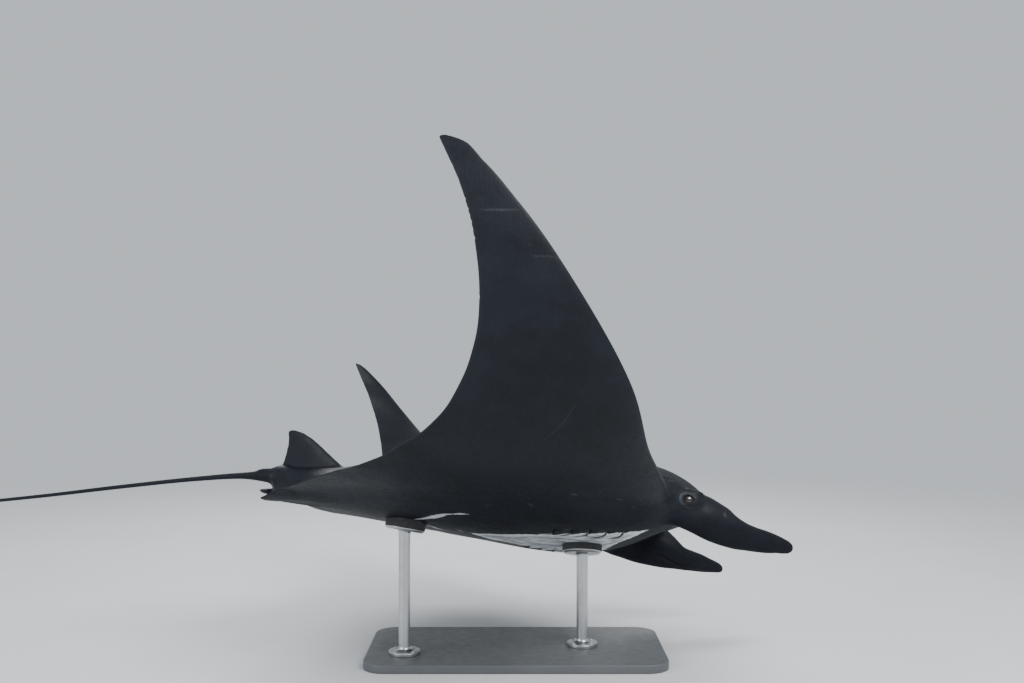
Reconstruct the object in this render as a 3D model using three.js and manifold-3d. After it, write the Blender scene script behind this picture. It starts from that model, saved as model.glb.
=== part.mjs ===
// Giant oceanic manta ray, all-dark form, life size, gliding with both wings
// raised and its head lobes furled, carried on a plain display stand.
//
// Frame: millimetres, +Z up.  The origin is the centre of the stand's underside.
// The animal swims towards +X and a little towards +Y, and is banked so that
// its right wing (-Y side) is the higher one.
//
// The body is first described lying flat, in body axes measured from the rim
// of the upper jaw: `back` runs towards the tail, `span` runs out along a wing
// (left positive) and `up` is the height above the jaw plane.  All three are
// fractions of the disc width.  The flat shape is then curled upwards along
// the wings, and the whole animal is turned to its gliding attitude.

import * as THREE from 'three';
import { mergeVertices } from 'three/addons/utils/BufferGeometryUtils.js';
import Module from 'manifold-3d';

const wasm = await Module();
wasm.setup();

// ---------------------------------------------------------------- dimensions
const DISC_WIDTH = 5000;          // flat span from wing tip to wing tip
const YAW = 11.67;                // heading, degrees from +X towards +Y
const PITCH = -5.16;              // nose down
const BANK = 16.97;               // right wing up
const JAW = new THREE.Vector3(968, 179, 690);   // rim of the upper jaw in the stand's frame

const CURL = {                    // how the wings bend upwards
  start: 0.075,                   // span where the bend begins
  width: 0.4455,                  // span over which it develops
  turn: 1.1757,                   // radians reached
  rate: 0.3288,                   // further radians per disc width
  twist: 0.1897,                  // extra bend towards the trailing edge
  twistBack: 0.22, twistLength: 0.15,
  lift: 0.0065,                   // the inner rear edge of the left wing is held a little higher
};

const NECK = 0.066;               // back: plane between head and trunk
const HEAD_HALF = 0.110;          // half width of the head at that plane
const WING_ROOT = 0.150;          // span of the plane between trunk and wing
const WING_END = 0.4955;          // span of the squared wing tip
const SPLIT = 1.0 / DISC_WIDTH;   // 1 mm between neighbouring pieces
const EDGE = 0.0007;              // half thickness left at the fin edges
const WING_THICK = 0.055;         // wing thickness extrapolated to the midline
const WING_TAPER = 1.3;
const DORSAL_SHARE = 0.6;         // part of the wing thickness above its plane

const EYE = { back: 0.0430, span: 0.1015, up: 0.0015, radius: 0.0068 };
const MOUTH = { half: 0.066, depth: 0.022, gape: 0.0042, up: -0.0012 };
const TAIL = { root: 0.4500, tip: 0.945 };
const TAIL_CUTS = [0.585, 0.745]; // back positions where the tail is divided

const BASE = { length: 1560, width: 800, height: 45, corner: 120, bevel: 6 };
const ROD = { radius: 30, flange: 82, flangeHeight: 20, fillet: 22 };
const PAD = { radius: 105, height: 46, clearance: 0.5 };
const ROD_FRONT_BACK = 0.125;     // where the rods meet the belly
const ROD_REAR_BACK = 0.315;

// ------------------------------------------------------------ section stations
// Each line is [back or span, value], joined by a smooth curve.
const LEADING_EDGE = smooth([[0.105, 0.0655], [0.16, 0.0882], [0.23, 0.1275], [0.31, 0.1670], [0.39, 0.2290], [0.45, 0.2840], [0.485, 0.3223], [0.50, 0.3466]]);
const TRAILING_EDGE = smooth([[0.0, 0.4555], [0.03, 0.4500], [0.07, 0.4325], [0.12, 0.4048], [0.18, 0.3613], [0.25, 0.3225], [0.33, 0.3052], [0.41, 0.3148], [0.46, 0.3325], [0.49, 0.3478], [0.50, 0.3530]]);
const BACK_HEIGHT = smooth([[0, 0.0020], [0.006, 0.0085], [0.02, 0.0190], [0.045, 0.0320], [0.08, 0.0450], [0.12, 0.0560], [0.17, 0.0645], [0.22, 0.0650], [0.28, 0.0560], [0.34, 0.0405], [0.385, 0.0290], [0.42, 0.0265], [0.4555, 0.0262]]);
const BELLY_DEPTH = smooth([[0, 0.0030], [0.01, 0.0060], [0.03, 0.0135], [0.045, 0.0200], [0.06, 0.0265], [0.08, 0.0318], [0.10, 0.0340], [0.15, 0.0340], [0.20, 0.0318], [0.25, 0.0280], [0.35, 0.0168], [0.42, 0.0072], [0.4555, 0.0030]]);
const BODY_HALF = smooth([[0, 0.0760], [0.0144, 0.0865], [0.025, 0.0945], [0.045, 0.1040], [0.066, 0.1100], [0.10, 0.1270], [0.15, 0.1440], [0.21, 0.1490], [0.27, 0.1400], [0.33, 0.1120], [0.385, 0.0650], [0.42, 0.0400], [0.4555, 0.0190]]);

// Furled head lobes.  Each row is [forward of the jaw rim, centre span, half width, upper edge, lower edge];
// the left lobe hangs a little lower at its root and reaches a little less far.
const LOBE_REACH = { right: 1, left: 0.935 };
const LOBE_ROWS = {
  right: [
    [-0.062, 0.0860, 0.0060, -0.0080, -0.0190],
    [-0.050, 0.0885, 0.0105, 0.0000, -0.0235],
    [-0.036, 0.0900, 0.0130, 0.0095, -0.0290],
    [-0.020, 0.0905, 0.0135, 0.0085, -0.0360],
    [-0.004, 0.0895, 0.0130, 0.0010, -0.0405],
    [0.010, 0.0885, 0.0122, -0.0086, -0.0432],
    [0.022, 0.0880, 0.0113, -0.0163, -0.0440],
    [0.034, 0.0882, 0.0104, -0.0212, -0.0451],
    [0.046, 0.0886, 0.0094, -0.0237, -0.0452],
    [0.057, 0.0888, 0.0080, -0.0268, -0.0448],
    [0.066, 0.0889, 0.0062, -0.0308, -0.0442],
    [0.0715, 0.0889, 0.0042, -0.0343, -0.0433],
    [0.0737, 0.0889, 0.0020, -0.0371, -0.0415],
  ],
  left: [
    [-0.085, 0.0800, 0.0060, -0.0120, -0.0235],
    [-0.070, 0.0850, 0.0100, -0.0100, -0.0302],
    [-0.054, 0.0880, 0.0120, -0.0040, -0.0340],
    [-0.036, 0.0900, 0.0135, 0.0085, -0.0382],
    [-0.018, 0.0905, 0.0138, 0.0070, -0.0410],
    [-0.002, 0.0895, 0.0132, -0.0010, -0.0430],
    [0.012, 0.0885, 0.0122, -0.0120, -0.0438],
    [0.024, 0.0880, 0.0113, -0.0200, -0.0447],
    [0.036, 0.0882, 0.0104, -0.0240, -0.0452],
    [0.048, 0.0886, 0.0094, -0.0272, -0.0450],
    [0.059, 0.0888, 0.0080, -0.0300, -0.0447],
    [0.068, 0.0889, 0.0060, -0.0336, -0.0442],
    [0.0730, 0.0889, 0.0040, -0.0365, -0.0435],
    [0.0750, 0.0889, 0.0020, -0.0385, -0.0420],
  ],
};
// Dorsal fin: [height fraction, front back, rear back, half thickness]
const DORSAL = { foot: 0.0235, height: 0.0430 };
const DORSAL_ROWS = [[0, 0.3680, 0.4460, 0.0052], [0.2, 0.3850, 0.4450, 0.0045], [0.42, 0.3965, 0.4432, 0.0037], [0.64, 0.4075, 0.4420, 0.0030], [0.82, 0.4172, 0.4424, 0.0023], [0.94, 0.4262, 0.4430, 0.0016], [1, 0.4340, 0.4424, 0.0008]];
// Pelvic fin: [span, front back, rear back, up at the rear, half thickness, up at the front]
const PELVIC_ROWS = {
  left: [[0.0110, 0.4200, 0.4610, 0.0020, 0.0034, 0.0020], [0.0180, 0.4220, 0.4650, 0.0018, 0.0030, 0.0018], [0.0260, 0.4260, 0.4668, 0.0014, 0.0024, 0.0014], [0.0340, 0.4330, 0.4645, 0.0008, 0.0017, 0.0008], [0.0400, 0.4430, 0.4590, 0.0004, 0.0010, 0.0004]],
  // the right one hangs behind
  right: [[0.0110, 0.4200, 0.4620, -0.0084, 0.0034, -0.0030], [0.0190, 0.4225, 0.4655, -0.0088, 0.0030, -0.0028], [0.0280, 0.4270, 0.4608, -0.0078, 0.0024, -0.0030], [0.0370, 0.4330, 0.4538, -0.0054, 0.0017, -0.0030], [0.0440, 0.4400, 0.4478, -0.0036, 0.0010, -0.0030]],
};

// ------------------------------------------------------------------- helpers
// Smooth curve through a few stations (cubic Hermite, slopes from neighbours).
function smooth(stations) {
  const n = stations.length;
  const x = stations.map((p) => p[0]), y = stations.map((p) => p[1]);
  const d = [];
  for (let i = 0; i < n - 1; i++) d.push((y[i + 1] - y[i]) / (x[i + 1] - x[i]));
  const m = [];
  for (let i = 0; i < n; i++) {
    if (i === 0) m.push(d[0]);
    else if (i === n - 1) m.push(d[n - 2]);
    else {
      const a = x[i] - x[i - 1], b = x[i + 1] - x[i];
      m.push((b * d[i - 1] + a * d[i]) / (a + b));
    }
  }
  return (t) => {
    if (t <= x[0]) return y[0];
    if (t >= x[n - 1]) return y[n - 1];
    let i = 0;
    while (t > x[i + 1]) i++;
    const h = x[i + 1] - x[i], u = (t - x[i]) / h, u2 = u * u, u3 = u2 * u;
    return (2 * u3 - 3 * u2 + 1) * y[i] + (u3 - 2 * u2 + u) * h * m[i] + (-2 * u3 + 3 * u2) * y[i + 1] + (u3 - u2) * h * m[i + 1];
  };
}
const step = (a, b, x) => THREE.MathUtils.smoothstep(x, a, b);
const mix = THREE.MathUtils.lerp;

// Body height and depth over the flat plan.
function wingSection(back, span) {
  const s = Math.abs(span);
  const front = s < HEAD_HALF ? NECK : Math.max(NECK, LEADING_EDGE(s));
  const rear = TRAILING_EDGE(s);
  const u = THREE.MathUtils.clamp((back - front) / (rear - front), 0, 1);
  const thick = WING_THICK * Math.pow(Math.max(0, 1 - s / 0.5), WING_TAPER) + 0.0012;
  return thick * Math.sqrt(u) * Math.pow(1 - u, 1.2) / 0.357 * step(0.02, 0.13, s);
}
function coreSection(back, span, height, headPower, bodyPower, headRound, bodyRound, blendFrom, blendTo) {
  const s = Math.abs(span) / BODY_HALF(back);
  if (s >= 1) return 0;
  const k = step(blendFrom, blendTo, back);
  return height * Math.pow(1 - Math.pow(s, mix(headPower, bodyPower, k)), mix(headRound, bodyRound, k));
}
const join = (a, b) => Math.pow(Math.pow(a, 2.2) + Math.pow(b, 2.2), 1 / 2.2);
const topOf = (back, span) => join(coreSection(back, span, BACK_HEIGHT(back), 4, 2.2, 0.5, 1.2, 0.05, 0.15), DORSAL_SHARE * wingSection(back, span)) + EDGE;
const bellyOf = (back, span) => -join(coreSection(back, span, BELLY_DEPTH(back), 4, 2.2, 0.5, 1.2, 0.09, 0.24), (1 - DORSAL_SHARE) * wingSection(back, span)) - EDGE;

// Curl of the wings: flat (back, span, up) to body axes in millimetres (x forward, y left, z up).
function curl(back, span, up) {
  const side = span < 0 ? -1 : 1, s = Math.abs(span);
  const k = 1 + CURL.twist * (back - CURL.twistBack) / CURL.twistLength;
  const angle = (t) => {
    if (t <= CURL.start) return 0;
    const q = Math.min(1, (t - CURL.start) / CURL.width);
    return k * (CURL.turn * q * q * (3 - 2 * q) + CURL.rate * (t - CURL.start));
  };
  let y = Math.min(s, CURL.start), z = 0;
  if (s > CURL.start) {
    const n = 40, h = (s - CURL.start) / n;
    for (let i = 0; i < n; i++) {
      const a = angle(CURL.start + (i + 0.5) * h);
      y += Math.cos(a) * h;
      z += Math.sin(a) * h;
    }
  }
  const a = angle(s);
  if (span > 0) up += CURL.lift * step(0.22, 0.37, back) * step(0.0, 0.035, s) * (1 - step(0.09, 0.22, s));
  return new THREE.Vector3(-back, side * (y - up * Math.sin(a)), z + up * Math.cos(a)).multiplyScalar(DISC_WIDTH);
}

// A closed block of cells whose corners are moved by `place(u, v, w)`, each 0..1.
function block(nu, nv, nw, place) {
  let g = new THREE.BoxGeometry(1, 1, 1, nu, nv, nw);
  g.deleteAttribute('normal');
  g.deleteAttribute('uv');
  g = mergeVertices(g, 1e-5);
  const p = g.attributes.position, q = new Float32Array(p.count * 3);
  for (let i = 0; i < p.count; i++) place(p.getX(i) + 0.5, p.getY(i) + 0.5, p.getZ(i) + 0.5).toArray(q, i * 3);
  g.setAttribute('position', new THREE.BufferAttribute(q, 3));
  return g;
}
// A closed barrel of rings along +X, moved by `place(t, angle, r)`: t 0..1 along, r 0 on the axis and 1 on the wall.
function barrel(rings, sides, place) {
  let g = new THREE.CylinderGeometry(1, 1, 1, sides, rings);
  g.deleteAttribute('normal');
  g.deleteAttribute('uv');
  g = mergeVertices(g, 1e-5);
  const p = g.attributes.position, q = new Float32Array(p.count * 3);
  for (let i = 0; i < p.count; i++) {
    const x = p.getX(i), z = p.getZ(i), r = Math.min(1, Math.hypot(x, z));
    place(p.getY(i) + 0.5, Math.atan2(x, z), r < 0.5 ? 0 : 1).toArray(q, i * 3);
  }
  g.setAttribute('position', new THREE.BufferAttribute(q, 3));
  return g;
}
function solid(g) {
  const p = g.attributes.position;
  return new wasm.Manifold(new wasm.Mesh({ numProp: 3, vertProperties: new Float32Array(p.array), triVerts: new Uint32Array(g.index.array) }));
}
function geometry(man) {
  const m = man.getMesh();
  const g = new THREE.BufferGeometry();
  g.setAttribute('position', new THREE.BufferAttribute(new Float32Array(m.vertProperties), 3));
  g.setIndex(new THREE.BufferAttribute(new Uint32Array(m.triVerts), 1));
  return g;
}
// The same closed body a little fatter, to cut a neighbour with clearance.
function swell(g, by) {
  const h = g.clone();
  h.computeVertexNormals();
  const p = h.attributes.position, n = h.attributes.normal;
  for (let i = 0; i < p.count; i++) p.setXYZ(i, p.getX(i) + by * n.getX(i), p.getY(i) + by * n.getY(i), p.getZ(i) + by * n.getZ(i));
  h.deleteAttribute('normal');
  return h;
}
const bodyPoint = (x, y, z) => new THREE.Vector3(x, y, z).multiplyScalar(DISC_WIDTH);
const rows = (table, c) => smooth(table.map((r) => [r[0], r[c]]));

// --------------------------------------------------------------------- trunk
const TRUNK_COLUMNS = [0, 0.012, 0.026, 0.044, 0.064, 0.084, 0.100, HEAD_HALF, 0.128, WING_ROOT];
const CHORD_CELLS = 15;
const chord = (u) => 0.55 * Math.pow(u, 1.9) + 0.45 * u;
function trunkGeometry() {
  const n = TRUNK_COLUMNS.length - 1;
  return block(CHORD_CELLS, 2 * n, 1, (a, b, c) => {
    const j = Math.round(b * 2 * n) - n;
    let s = TRUNK_COLUMNS[Math.abs(j)];
    if (Math.abs(j) === n) s -= SPLIT / 2;
    const span = Math.sign(j) * s;
    const front = s <= HEAD_HALF ? NECK : Math.max(NECK, LEADING_EDGE(s));
    const back = mix(front, TRAILING_EDGE(s), chord(1 - a));
    return curl(back, span, c > 0.5 ? topOf(back, span) : bellyOf(back, span));
  });
}
// --------------------------------------------------------------------- wings
function wingGeometry(side) {
  const spans = 16;
  return block(CHORD_CELLS, spans, 1, (a, b, c) => {
    const t = side > 0 ? b : 1 - b;
    const f = 1 - Math.pow(1 - t, 1.25);
    const s = mix(WING_ROOT + SPLIT / 2, WING_END, f);
    const front = LEADING_EDGE(s);
    const back = mix(front, TRAILING_EDGE(s), chord(1 - a));
    return curl(back, side * s, c > 0.5 ? topOf(back, s) : bellyOf(back, s));
  });
}
// ---------------------------------------------------------------------- head
function headGeometry(end = NECK - SPLIT) {
  return barrel(9, 36, (t, angle, r) => {
    const back = end * Math.pow(t, 1.5);
    const half = BODY_HALF(back);
    const c = Math.sin(angle), s = Math.cos(angle);
    if (r === 0) return curl(back, 0, (topOf(back, 0) + bellyOf(back, 0)) / 2);
    // spread the points so that the corners of the boxy section are kept
    const y = half * Math.sign(c) * Math.pow(Math.abs(c), 0.75);
    const k = Math.min(0.9999, Math.abs(y) / half) * half;
    const z = Math.abs(s) < 1e-6 ? 0 : s > 0 ? topOf(back, k) : bellyOf(back, k);
    return curl(back, y, z);
  });
}
function mouthCutter() {
  // shallow gape across the front of the head, bowed like the jaw
  return block(2, 10, 1, (a, b, c) => {
    const y = mix(-MOUTH.half, MOUTH.half, b), e = y / MOUTH.half;
    const z = MOUTH.up - 0.0016 * e * e + (c - 0.5) * MOUTH.gape * (1 - 0.75 * e * e * e * e) * mix(1, 0.45, 1 - a);
    return bodyPoint(mix(-MOUTH.depth * (1 - 0.35 * e * e), 0.012, a), y, z);
  });
}
// ------------------------------------------------------------------ head lobe
function lobeGeometry(side) {
  const label = side > 0 ? 'left' : 'right', table = LOBE_ROWS[label], n = table.length - 1;
  return barrel(n, 16, (t, angle, r) => {
    const [x, span, half, upper, lower] = table[n - Math.round(t * n)];
    const y = side * span + r * half * Math.sin(angle);
    return bodyPoint(x > 0 ? x * LOBE_REACH[label] : x, y, (upper + lower) / 2 + r * (upper - lower) / 2 * Math.cos(angle));
  });
}
// ----------------------------------------------------------------------- eye
function eyeGeometry(side) {
  const g = mergeVertices(stripped(new THREE.SphereGeometry(EYE.radius * DISC_WIDTH, 16, 8)), 1e-3);
  g.scale(1, 0.62, 0.92);
  g.rotateZ(-side * THREE.MathUtils.degToRad(14));
  g.translate(-EYE.back * DISC_WIDTH, side * EYE.span * DISC_WIDTH, EYE.up * DISC_WIDTH);
  return g;
}
function stripped(g) {
  g.deleteAttribute('normal');
  g.deleteAttribute('uv');
  return g;
}
// ----------------------------------------------------------- dorsal and pelvic fins
function dorsalGeometry() {
  const f = rows(DORSAL_ROWS, 1), r = rows(DORSAL_ROWS, 2), h = rows(DORSAL_ROWS, 3);
  return block(7, 2, 6, (a, b, c) => {
    const e = 1 - Math.pow(1 - c, 1.4), back = mix(f(e), r(e), 1 - a), u = 1 - a;
    const half = h(e) * (0.12 + 0.88 * Math.sqrt(u) * Math.pow(1 - u, 0.9) / 0.42);
    return bodyPoint(-back, (b - 0.5) * 2 * half, DORSAL.foot + DORSAL.height * e);
  });
}
function pelvicGeometry(side) {
  const table = side > 0 ? PELVIC_ROWS.left : PELVIC_ROWS.right;
  const f = rows(table, 1), r = rows(table, 2), z = rows(table, 3), h = rows(table, 4), z0 = rows(table, 5);
  const s0 = table[0][0], s1 = table[table.length - 1][0];
  return block(6, 5, 1, (a, b, c) => {
    const s = mix(s0, s1, side > 0 ? b : 1 - b), u = 1 - a;
    const half = h(s) * (0.25 + 0.75 * Math.sqrt(u) * Math.pow(1 - u, 0.7) / 0.45);
    return curl(mix(f(s), r(s), u), side * s, mix(z0(s), z(s), Math.pow(u, 1.3)) + (c - 0.5) * 2 * half);
  });
}
// ---------------------------------------------------------------------- tail
// Height of the tail's centre line above the jaw plane.
const TAIL_UP = smooth([[0.4500, 0.0172], [0.4874, 0.0150], [0.5264, 0.0095], [0.6024, -0.0040], [0.6756, -0.0180], [0.7500, -0.0305], [0.8500, -0.0425], [0.9450, -0.0480]]);
const TAIL_RADIUS = smooth([[0.4500, 0.0082], [0.465, 0.0054], [0.480, 0.0035], [0.500, 0.0027], [0.5264, 0.0023], [0.60, 0.0019], [0.72, 0.0015], [0.945, 0.0007]]);
function tailGeometry(from, to, rings) {
  return barrel(rings, 10, (t, angle, r) => {
    const back = mix(from, to, t), d = 0.002;
    const slope = Math.atan2(TAIL_UP(back + d) - TAIL_UP(back - d), 2 * d);
    const rad = TAIL_RADIUS(back) * r, tall = 1.06;
    const up = rad * tall * Math.cos(angle);
    return bodyPoint(-(back - up * Math.sin(slope)), rad * Math.sin(angle), TAIL_UP(back) + up * Math.cos(slope));
  });
}

// ------------------------------------------------------------------ materials
const paint = (name, color, roughness, metalness = 0) => new THREE.MeshStandardMaterial({ name, color, roughness, metalness });
const skinBack = () => paint('skin_dark', 0x14161c, 0.55);
const skinWing = () => paint('skin_dark', 0x171a21, 0.55);
const eyeGloss = () => paint('eye_dark', 0x0b0c0e, 0.12);
const steel = () => paint('stand_steel', 0x9da1a6, 0.35, 0.9);
const coat = () => paint('stand_coat', 0x3a3c40, 0.5, 0.2);

// ------------------------------------------------------------------- assembly
const model = new THREE.Group();
const animal = new THREE.Group();
animal.rotation.order = 'ZYX';
animal.rotation.set(-THREE.MathUtils.degToRad(BANK), -THREE.MathUtils.degToRad(PITCH), THREE.MathUtils.degToRad(YAW));
animal.position.copy(JAW);
animal.updateMatrixWorld(true);
model.add(animal);
const addTo = (group, name, g, material) => {
  const mesh = new THREE.Mesh(g, material);
  mesh.name = name;
  group.add(mesh);
  return mesh;
};

const GAP = 1.2;                  // clearance left where one piece is cut by another
const trunkGrown = solid(swell(trunkGeometry(), GAP));
const headGrown = solid(swell(headGeometry(NECK + 0.002), GAP));
const eyesGrown = [1, -1].map((side) => solid(swell(eyeGeometry(side), GAP)));

let head = solid(headGeometry()).subtract(solid(mouthCutter()));
for (const e of eyesGrown) head = head.subtract(e);

const fins = {};
for (const [side, label] of [[1, 'left'], [-1, 'right']]) {
  let lobe = solid(lobeGeometry(side)).subtract(headGrown).subtract(trunkGrown);
  for (const e of eyesGrown) lobe = lobe.subtract(e);
  fins[`cephalic_fin_${label}`] = largest(lobe);
  fins[`pelvic_fin_${label}`] = largest(solid(pelvicGeometry(side)).subtract(trunkGrown));
}
fins.dorsal_fin = largest(solid(dorsalGeometry()).subtract(trunkGrown));

// The biggest of the bodies a cut leaves; slivers are dropped.
function largest(man) {
  const parts = man.decompose();
  return parts.reduce((a, b) => (volume(a) > volume(b) ? a : b));
}
function volume(man) {
  return typeof man.volume === 'function' ? man.volume() : man.getProperties().volume;
}

addTo(animal, 'head', geometry(largest(head)), skinBack());
addTo(animal, 'trunk', trunkGeometry(), skinBack());
addTo(animal, 'wing_left', wingGeometry(1), skinWing());
addTo(animal, 'wing_right', wingGeometry(-1), skinWing());
for (const name of Object.keys(fins)) addTo(animal, name, geometry(fins[name]), skinBack());
addTo(animal, 'eye_left', eyeGeometry(1), eyeGloss());
addTo(animal, 'eye_right', eyeGeometry(-1), eyeGloss());
addTo(animal, 'tail_base', geometry(largest(solid(tailGeometry(TAIL.root, TAIL_CUTS[0], 8)).subtract(trunkGrown))), skinBack());
addTo(animal, 'tail_middle', tailGeometry(TAIL_CUTS[0] + SPLIT, TAIL_CUTS[1], 7), skinBack());
addTo(animal, 'tail_tip', tailGeometry(TAIL_CUTS[1] + SPLIT, TAIL.tip, 8), skinBack());

// ---------------------------------------------------------------------- stand
// Base: a plate with rounded corners and a small bevel, lying on the floor.
const plate = new THREE.Shape();
{
  const x = BASE.length / 2 - BASE.bevel, y = BASE.width / 2 - BASE.bevel, r = BASE.corner;
  plate.moveTo(-x + r, -y);
  plate.lineTo(x - r, -y);
  plate.absarc(x - r, -y + r, r, -Math.PI / 2, 0, false);
  plate.lineTo(x, y - r);
  plate.absarc(x - r, y - r, r, 0, Math.PI / 2, false);
  plate.lineTo(-x + r, y);
  plate.absarc(-x + r, y - r, r, Math.PI / 2, Math.PI, false);
  plate.lineTo(-x, -y + r);
  plate.absarc(-x + r, -y + r, r, Math.PI, 1.5 * Math.PI, false);
}
const plateGeometry = new THREE.ExtrudeGeometry(plate, { depth: BASE.height - 2 * BASE.bevel, bevelEnabled: true, bevelThickness: BASE.bevel, bevelSize: BASE.bevel, bevelSegments: 2, curveSegments: 5 });
plateGeometry.translate(0, 0, BASE.bevel);
addTo(model, 'stand_base', plateGeometry, coat());

// Rods: turned, with a flange at the foot, each ending in a padded saddle that lies against the belly.
const toStand = animal.matrixWorld;
const trunkWorld = solid(swell(trunkGeometry(), PAD.clearance + 0.3).applyMatrix4(toStand));
for (const [name, back] of [['front', ROD_FRONT_BACK], ['rear', ROD_REAR_BACK]]) {
  const at = curl(back, 0, bellyOf(back, 0)).applyMatrix4(toStand);
  const fore = curl(back - 0.02, 0, bellyOf(back - 0.02, 0)).applyMatrix4(toStand);
  const aft = curl(back + 0.02, 0, bellyOf(back + 0.02, 0)).applyMatrix4(toStand);
  const side = curl(back, 0.02, bellyOf(back, 0)).applyMatrix4(toStand).sub(at);
  const normal = fore.clone().sub(aft).cross(side).normalize();
  if (normal.z < 0) normal.negate();
  // saddle disc: its axis follows the belly, its upper part is shaped by the belly itself
  const turn = new THREE.Quaternion().setFromUnitVectors(new THREE.Vector3(0, 0, 1), normal);
  const disc = (radius, low, high) => {
    const g = new THREE.LatheGeometry([
      new THREE.Vector2(0, low), new THREE.Vector2(radius - 10, low), new THREE.Vector2(radius, low + 10),
      new THREE.Vector2(radius, high), new THREE.Vector2(0, high)], 28);
    g.rotateX(Math.PI / 2);
    g.applyQuaternion(turn);
    g.translate(at.x, at.y, at.z);
    return solid(mergeVertices(stripped(g), 1e-3));
  };
  const pad = largest(disc(PAD.radius, -PAD.height, 30).subtract(trunkWorld));
  addTo(model, `stand_saddle_${name}`, geometry(pad), paint('stand_pad', 0x202124, 0.8));
  // vertical rod under the saddle
  const foot = BASE.height + 0.4, topZ = at.z;
  const rod = new THREE.LatheGeometry([
    new THREE.Vector2(0, foot), new THREE.Vector2(ROD.flange - 3, foot), new THREE.Vector2(ROD.flange, foot + 3),
    new THREE.Vector2(ROD.flange, foot + ROD.flangeHeight - 4), new THREE.Vector2(ROD.flange - 4, foot + ROD.flangeHeight),
    new THREE.Vector2(ROD.radius + ROD.fillet, foot + ROD.flangeHeight),
    new THREE.Vector2(ROD.radius + ROD.fillet * 0.3, foot + ROD.flangeHeight + ROD.fillet * 0.3),
    new THREE.Vector2(ROD.radius, foot + ROD.flangeHeight + ROD.fillet),
    new THREE.Vector2(ROD.radius, topZ), new THREE.Vector2(0, topZ)], 20);
  rod.rotateX(Math.PI / 2);
  const anchor = at.clone().addScaledVector(normal, -PAD.height);
  rod.translate(anchor.x, anchor.y, 0);
  const keepOut = disc(PAD.radius + 60, -PAD.height - 0.4, 400);
  addTo(model, `stand_rod_${name}`, geometry(largest(solid(mergeVertices(stripped(rod), 1e-3)).subtract(keepOut))), steel());
}

export default model;
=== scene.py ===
import bpy
import math
import numpy as np
from mathutils import Vector, Matrix
from mathutils.kdtree import KDTree
from mathutils.bvhtree import BVHTree


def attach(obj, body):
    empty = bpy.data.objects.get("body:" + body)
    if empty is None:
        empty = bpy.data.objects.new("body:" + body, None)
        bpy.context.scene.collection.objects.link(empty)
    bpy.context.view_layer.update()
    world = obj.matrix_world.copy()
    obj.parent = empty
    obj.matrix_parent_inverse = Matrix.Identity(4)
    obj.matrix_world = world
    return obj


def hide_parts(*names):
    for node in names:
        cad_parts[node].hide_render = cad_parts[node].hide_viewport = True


# Giant manta ray, dark form, on its display stand.  The skin is one closed mesh:
# an implicit body (head, trunk, head lobes, fins, tail root) meshed on a graded
# grid in the flat pose, with the wings and the tail whip carried on from its open
# rims ring by ring, then bent and turned into the gliding attitude.

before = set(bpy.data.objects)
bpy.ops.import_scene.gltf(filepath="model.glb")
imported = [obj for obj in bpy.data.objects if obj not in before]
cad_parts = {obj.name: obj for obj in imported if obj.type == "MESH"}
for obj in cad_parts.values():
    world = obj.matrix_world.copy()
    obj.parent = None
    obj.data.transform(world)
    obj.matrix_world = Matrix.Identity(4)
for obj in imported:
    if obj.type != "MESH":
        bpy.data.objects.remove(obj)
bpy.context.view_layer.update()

# ------------------------------------------------------------------ camera first
DW = 5000.0                                   # disc width, mm
JAW = np.array([968.0, 179.0, 690.0])         # rim of the upper jaw in the stand's frame, mm
EYE_TO_JAW = np.array([988.8, 6456.0, -974.7])
cam_data = bpy.data.cameras.new("camera")
cam_data.sensor_width = 36.0
cam_data.lens = 41.32
cam_data.clip_end = 200.0
camera = bpy.data.objects.new("camera", cam_data)
camera.location = Vector((JAW - EYE_TO_JAW) / 1000.0)
camera.rotation_euler = (math.radians(90), 0, 0)
bpy.context.scene.collection.objects.link(camera)
bpy.context.scene.camera = camera


# ------------------------------------------------------------------ body shape
def smooth(stations):
    st = np.array(stations, float)
    x, y = st[:, 0], st[:, 1]
    n = len(x)
    d = np.diff(y) / np.diff(x)
    m = np.zeros(n)
    m[0], m[-1] = d[0], d[-1]
    for i in range(1, n - 1):
        a, b = x[i] - x[i - 1], x[i + 1] - x[i]
        m[i] = (b * d[i - 1] + a * d[i]) / (a + b)

    def f(t):
        t = np.asarray(t, float)
        i = np.clip(np.searchsorted(x, t, side="right") - 1, 0, n - 2)
        h = x[i + 1] - x[i]
        u = np.clip((t - x[i]) / h, 0, 1)
        u2 = u * u
        u3 = u2 * u
        return ((2 * u3 - 3 * u2 + 1) * y[i] + (u3 - 2 * u2 + u) * h * m[i]
                + (-2 * u3 + 3 * u2) * y[i + 1] + (u3 - u2) * h * m[i + 1])
    return f


LEADING = smooth([[0.105, 0.0655], [0.16, 0.0882], [0.23, 0.1275], [0.31, 0.1670], [0.39, 0.2290], [0.45, 0.2840], [0.485, 0.3223], [0.50, 0.3466]])
TRAILING = smooth([[0.0, 0.4555], [0.03, 0.4500], [0.07, 0.4325], [0.12, 0.4048], [0.18, 0.3613], [0.25, 0.3225], [0.33, 0.3052], [0.41, 0.3148], [0.46, 0.3325], [0.49, 0.3478], [0.50, 0.3530]])
BACK_HEIGHT = smooth([[0, 0.0020], [0.006, 0.0085], [0.02, 0.0190], [0.045, 0.0320], [0.08, 0.0450], [0.12, 0.0560], [0.17, 0.0645], [0.22, 0.0650], [0.28, 0.0560], [0.34, 0.0405], [0.385, 0.0290], [0.42, 0.0265], [0.4555, 0.0262]])
BELLY_DEPTH = smooth([[0, 0.0030], [0.01, 0.0060], [0.03, 0.0135], [0.045, 0.0200], [0.06, 0.0265], [0.08, 0.0318], [0.10, 0.0340], [0.15, 0.0340], [0.20, 0.0318], [0.25, 0.0280], [0.35, 0.0168], [0.42, 0.0072], [0.4555, 0.0030]])
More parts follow.
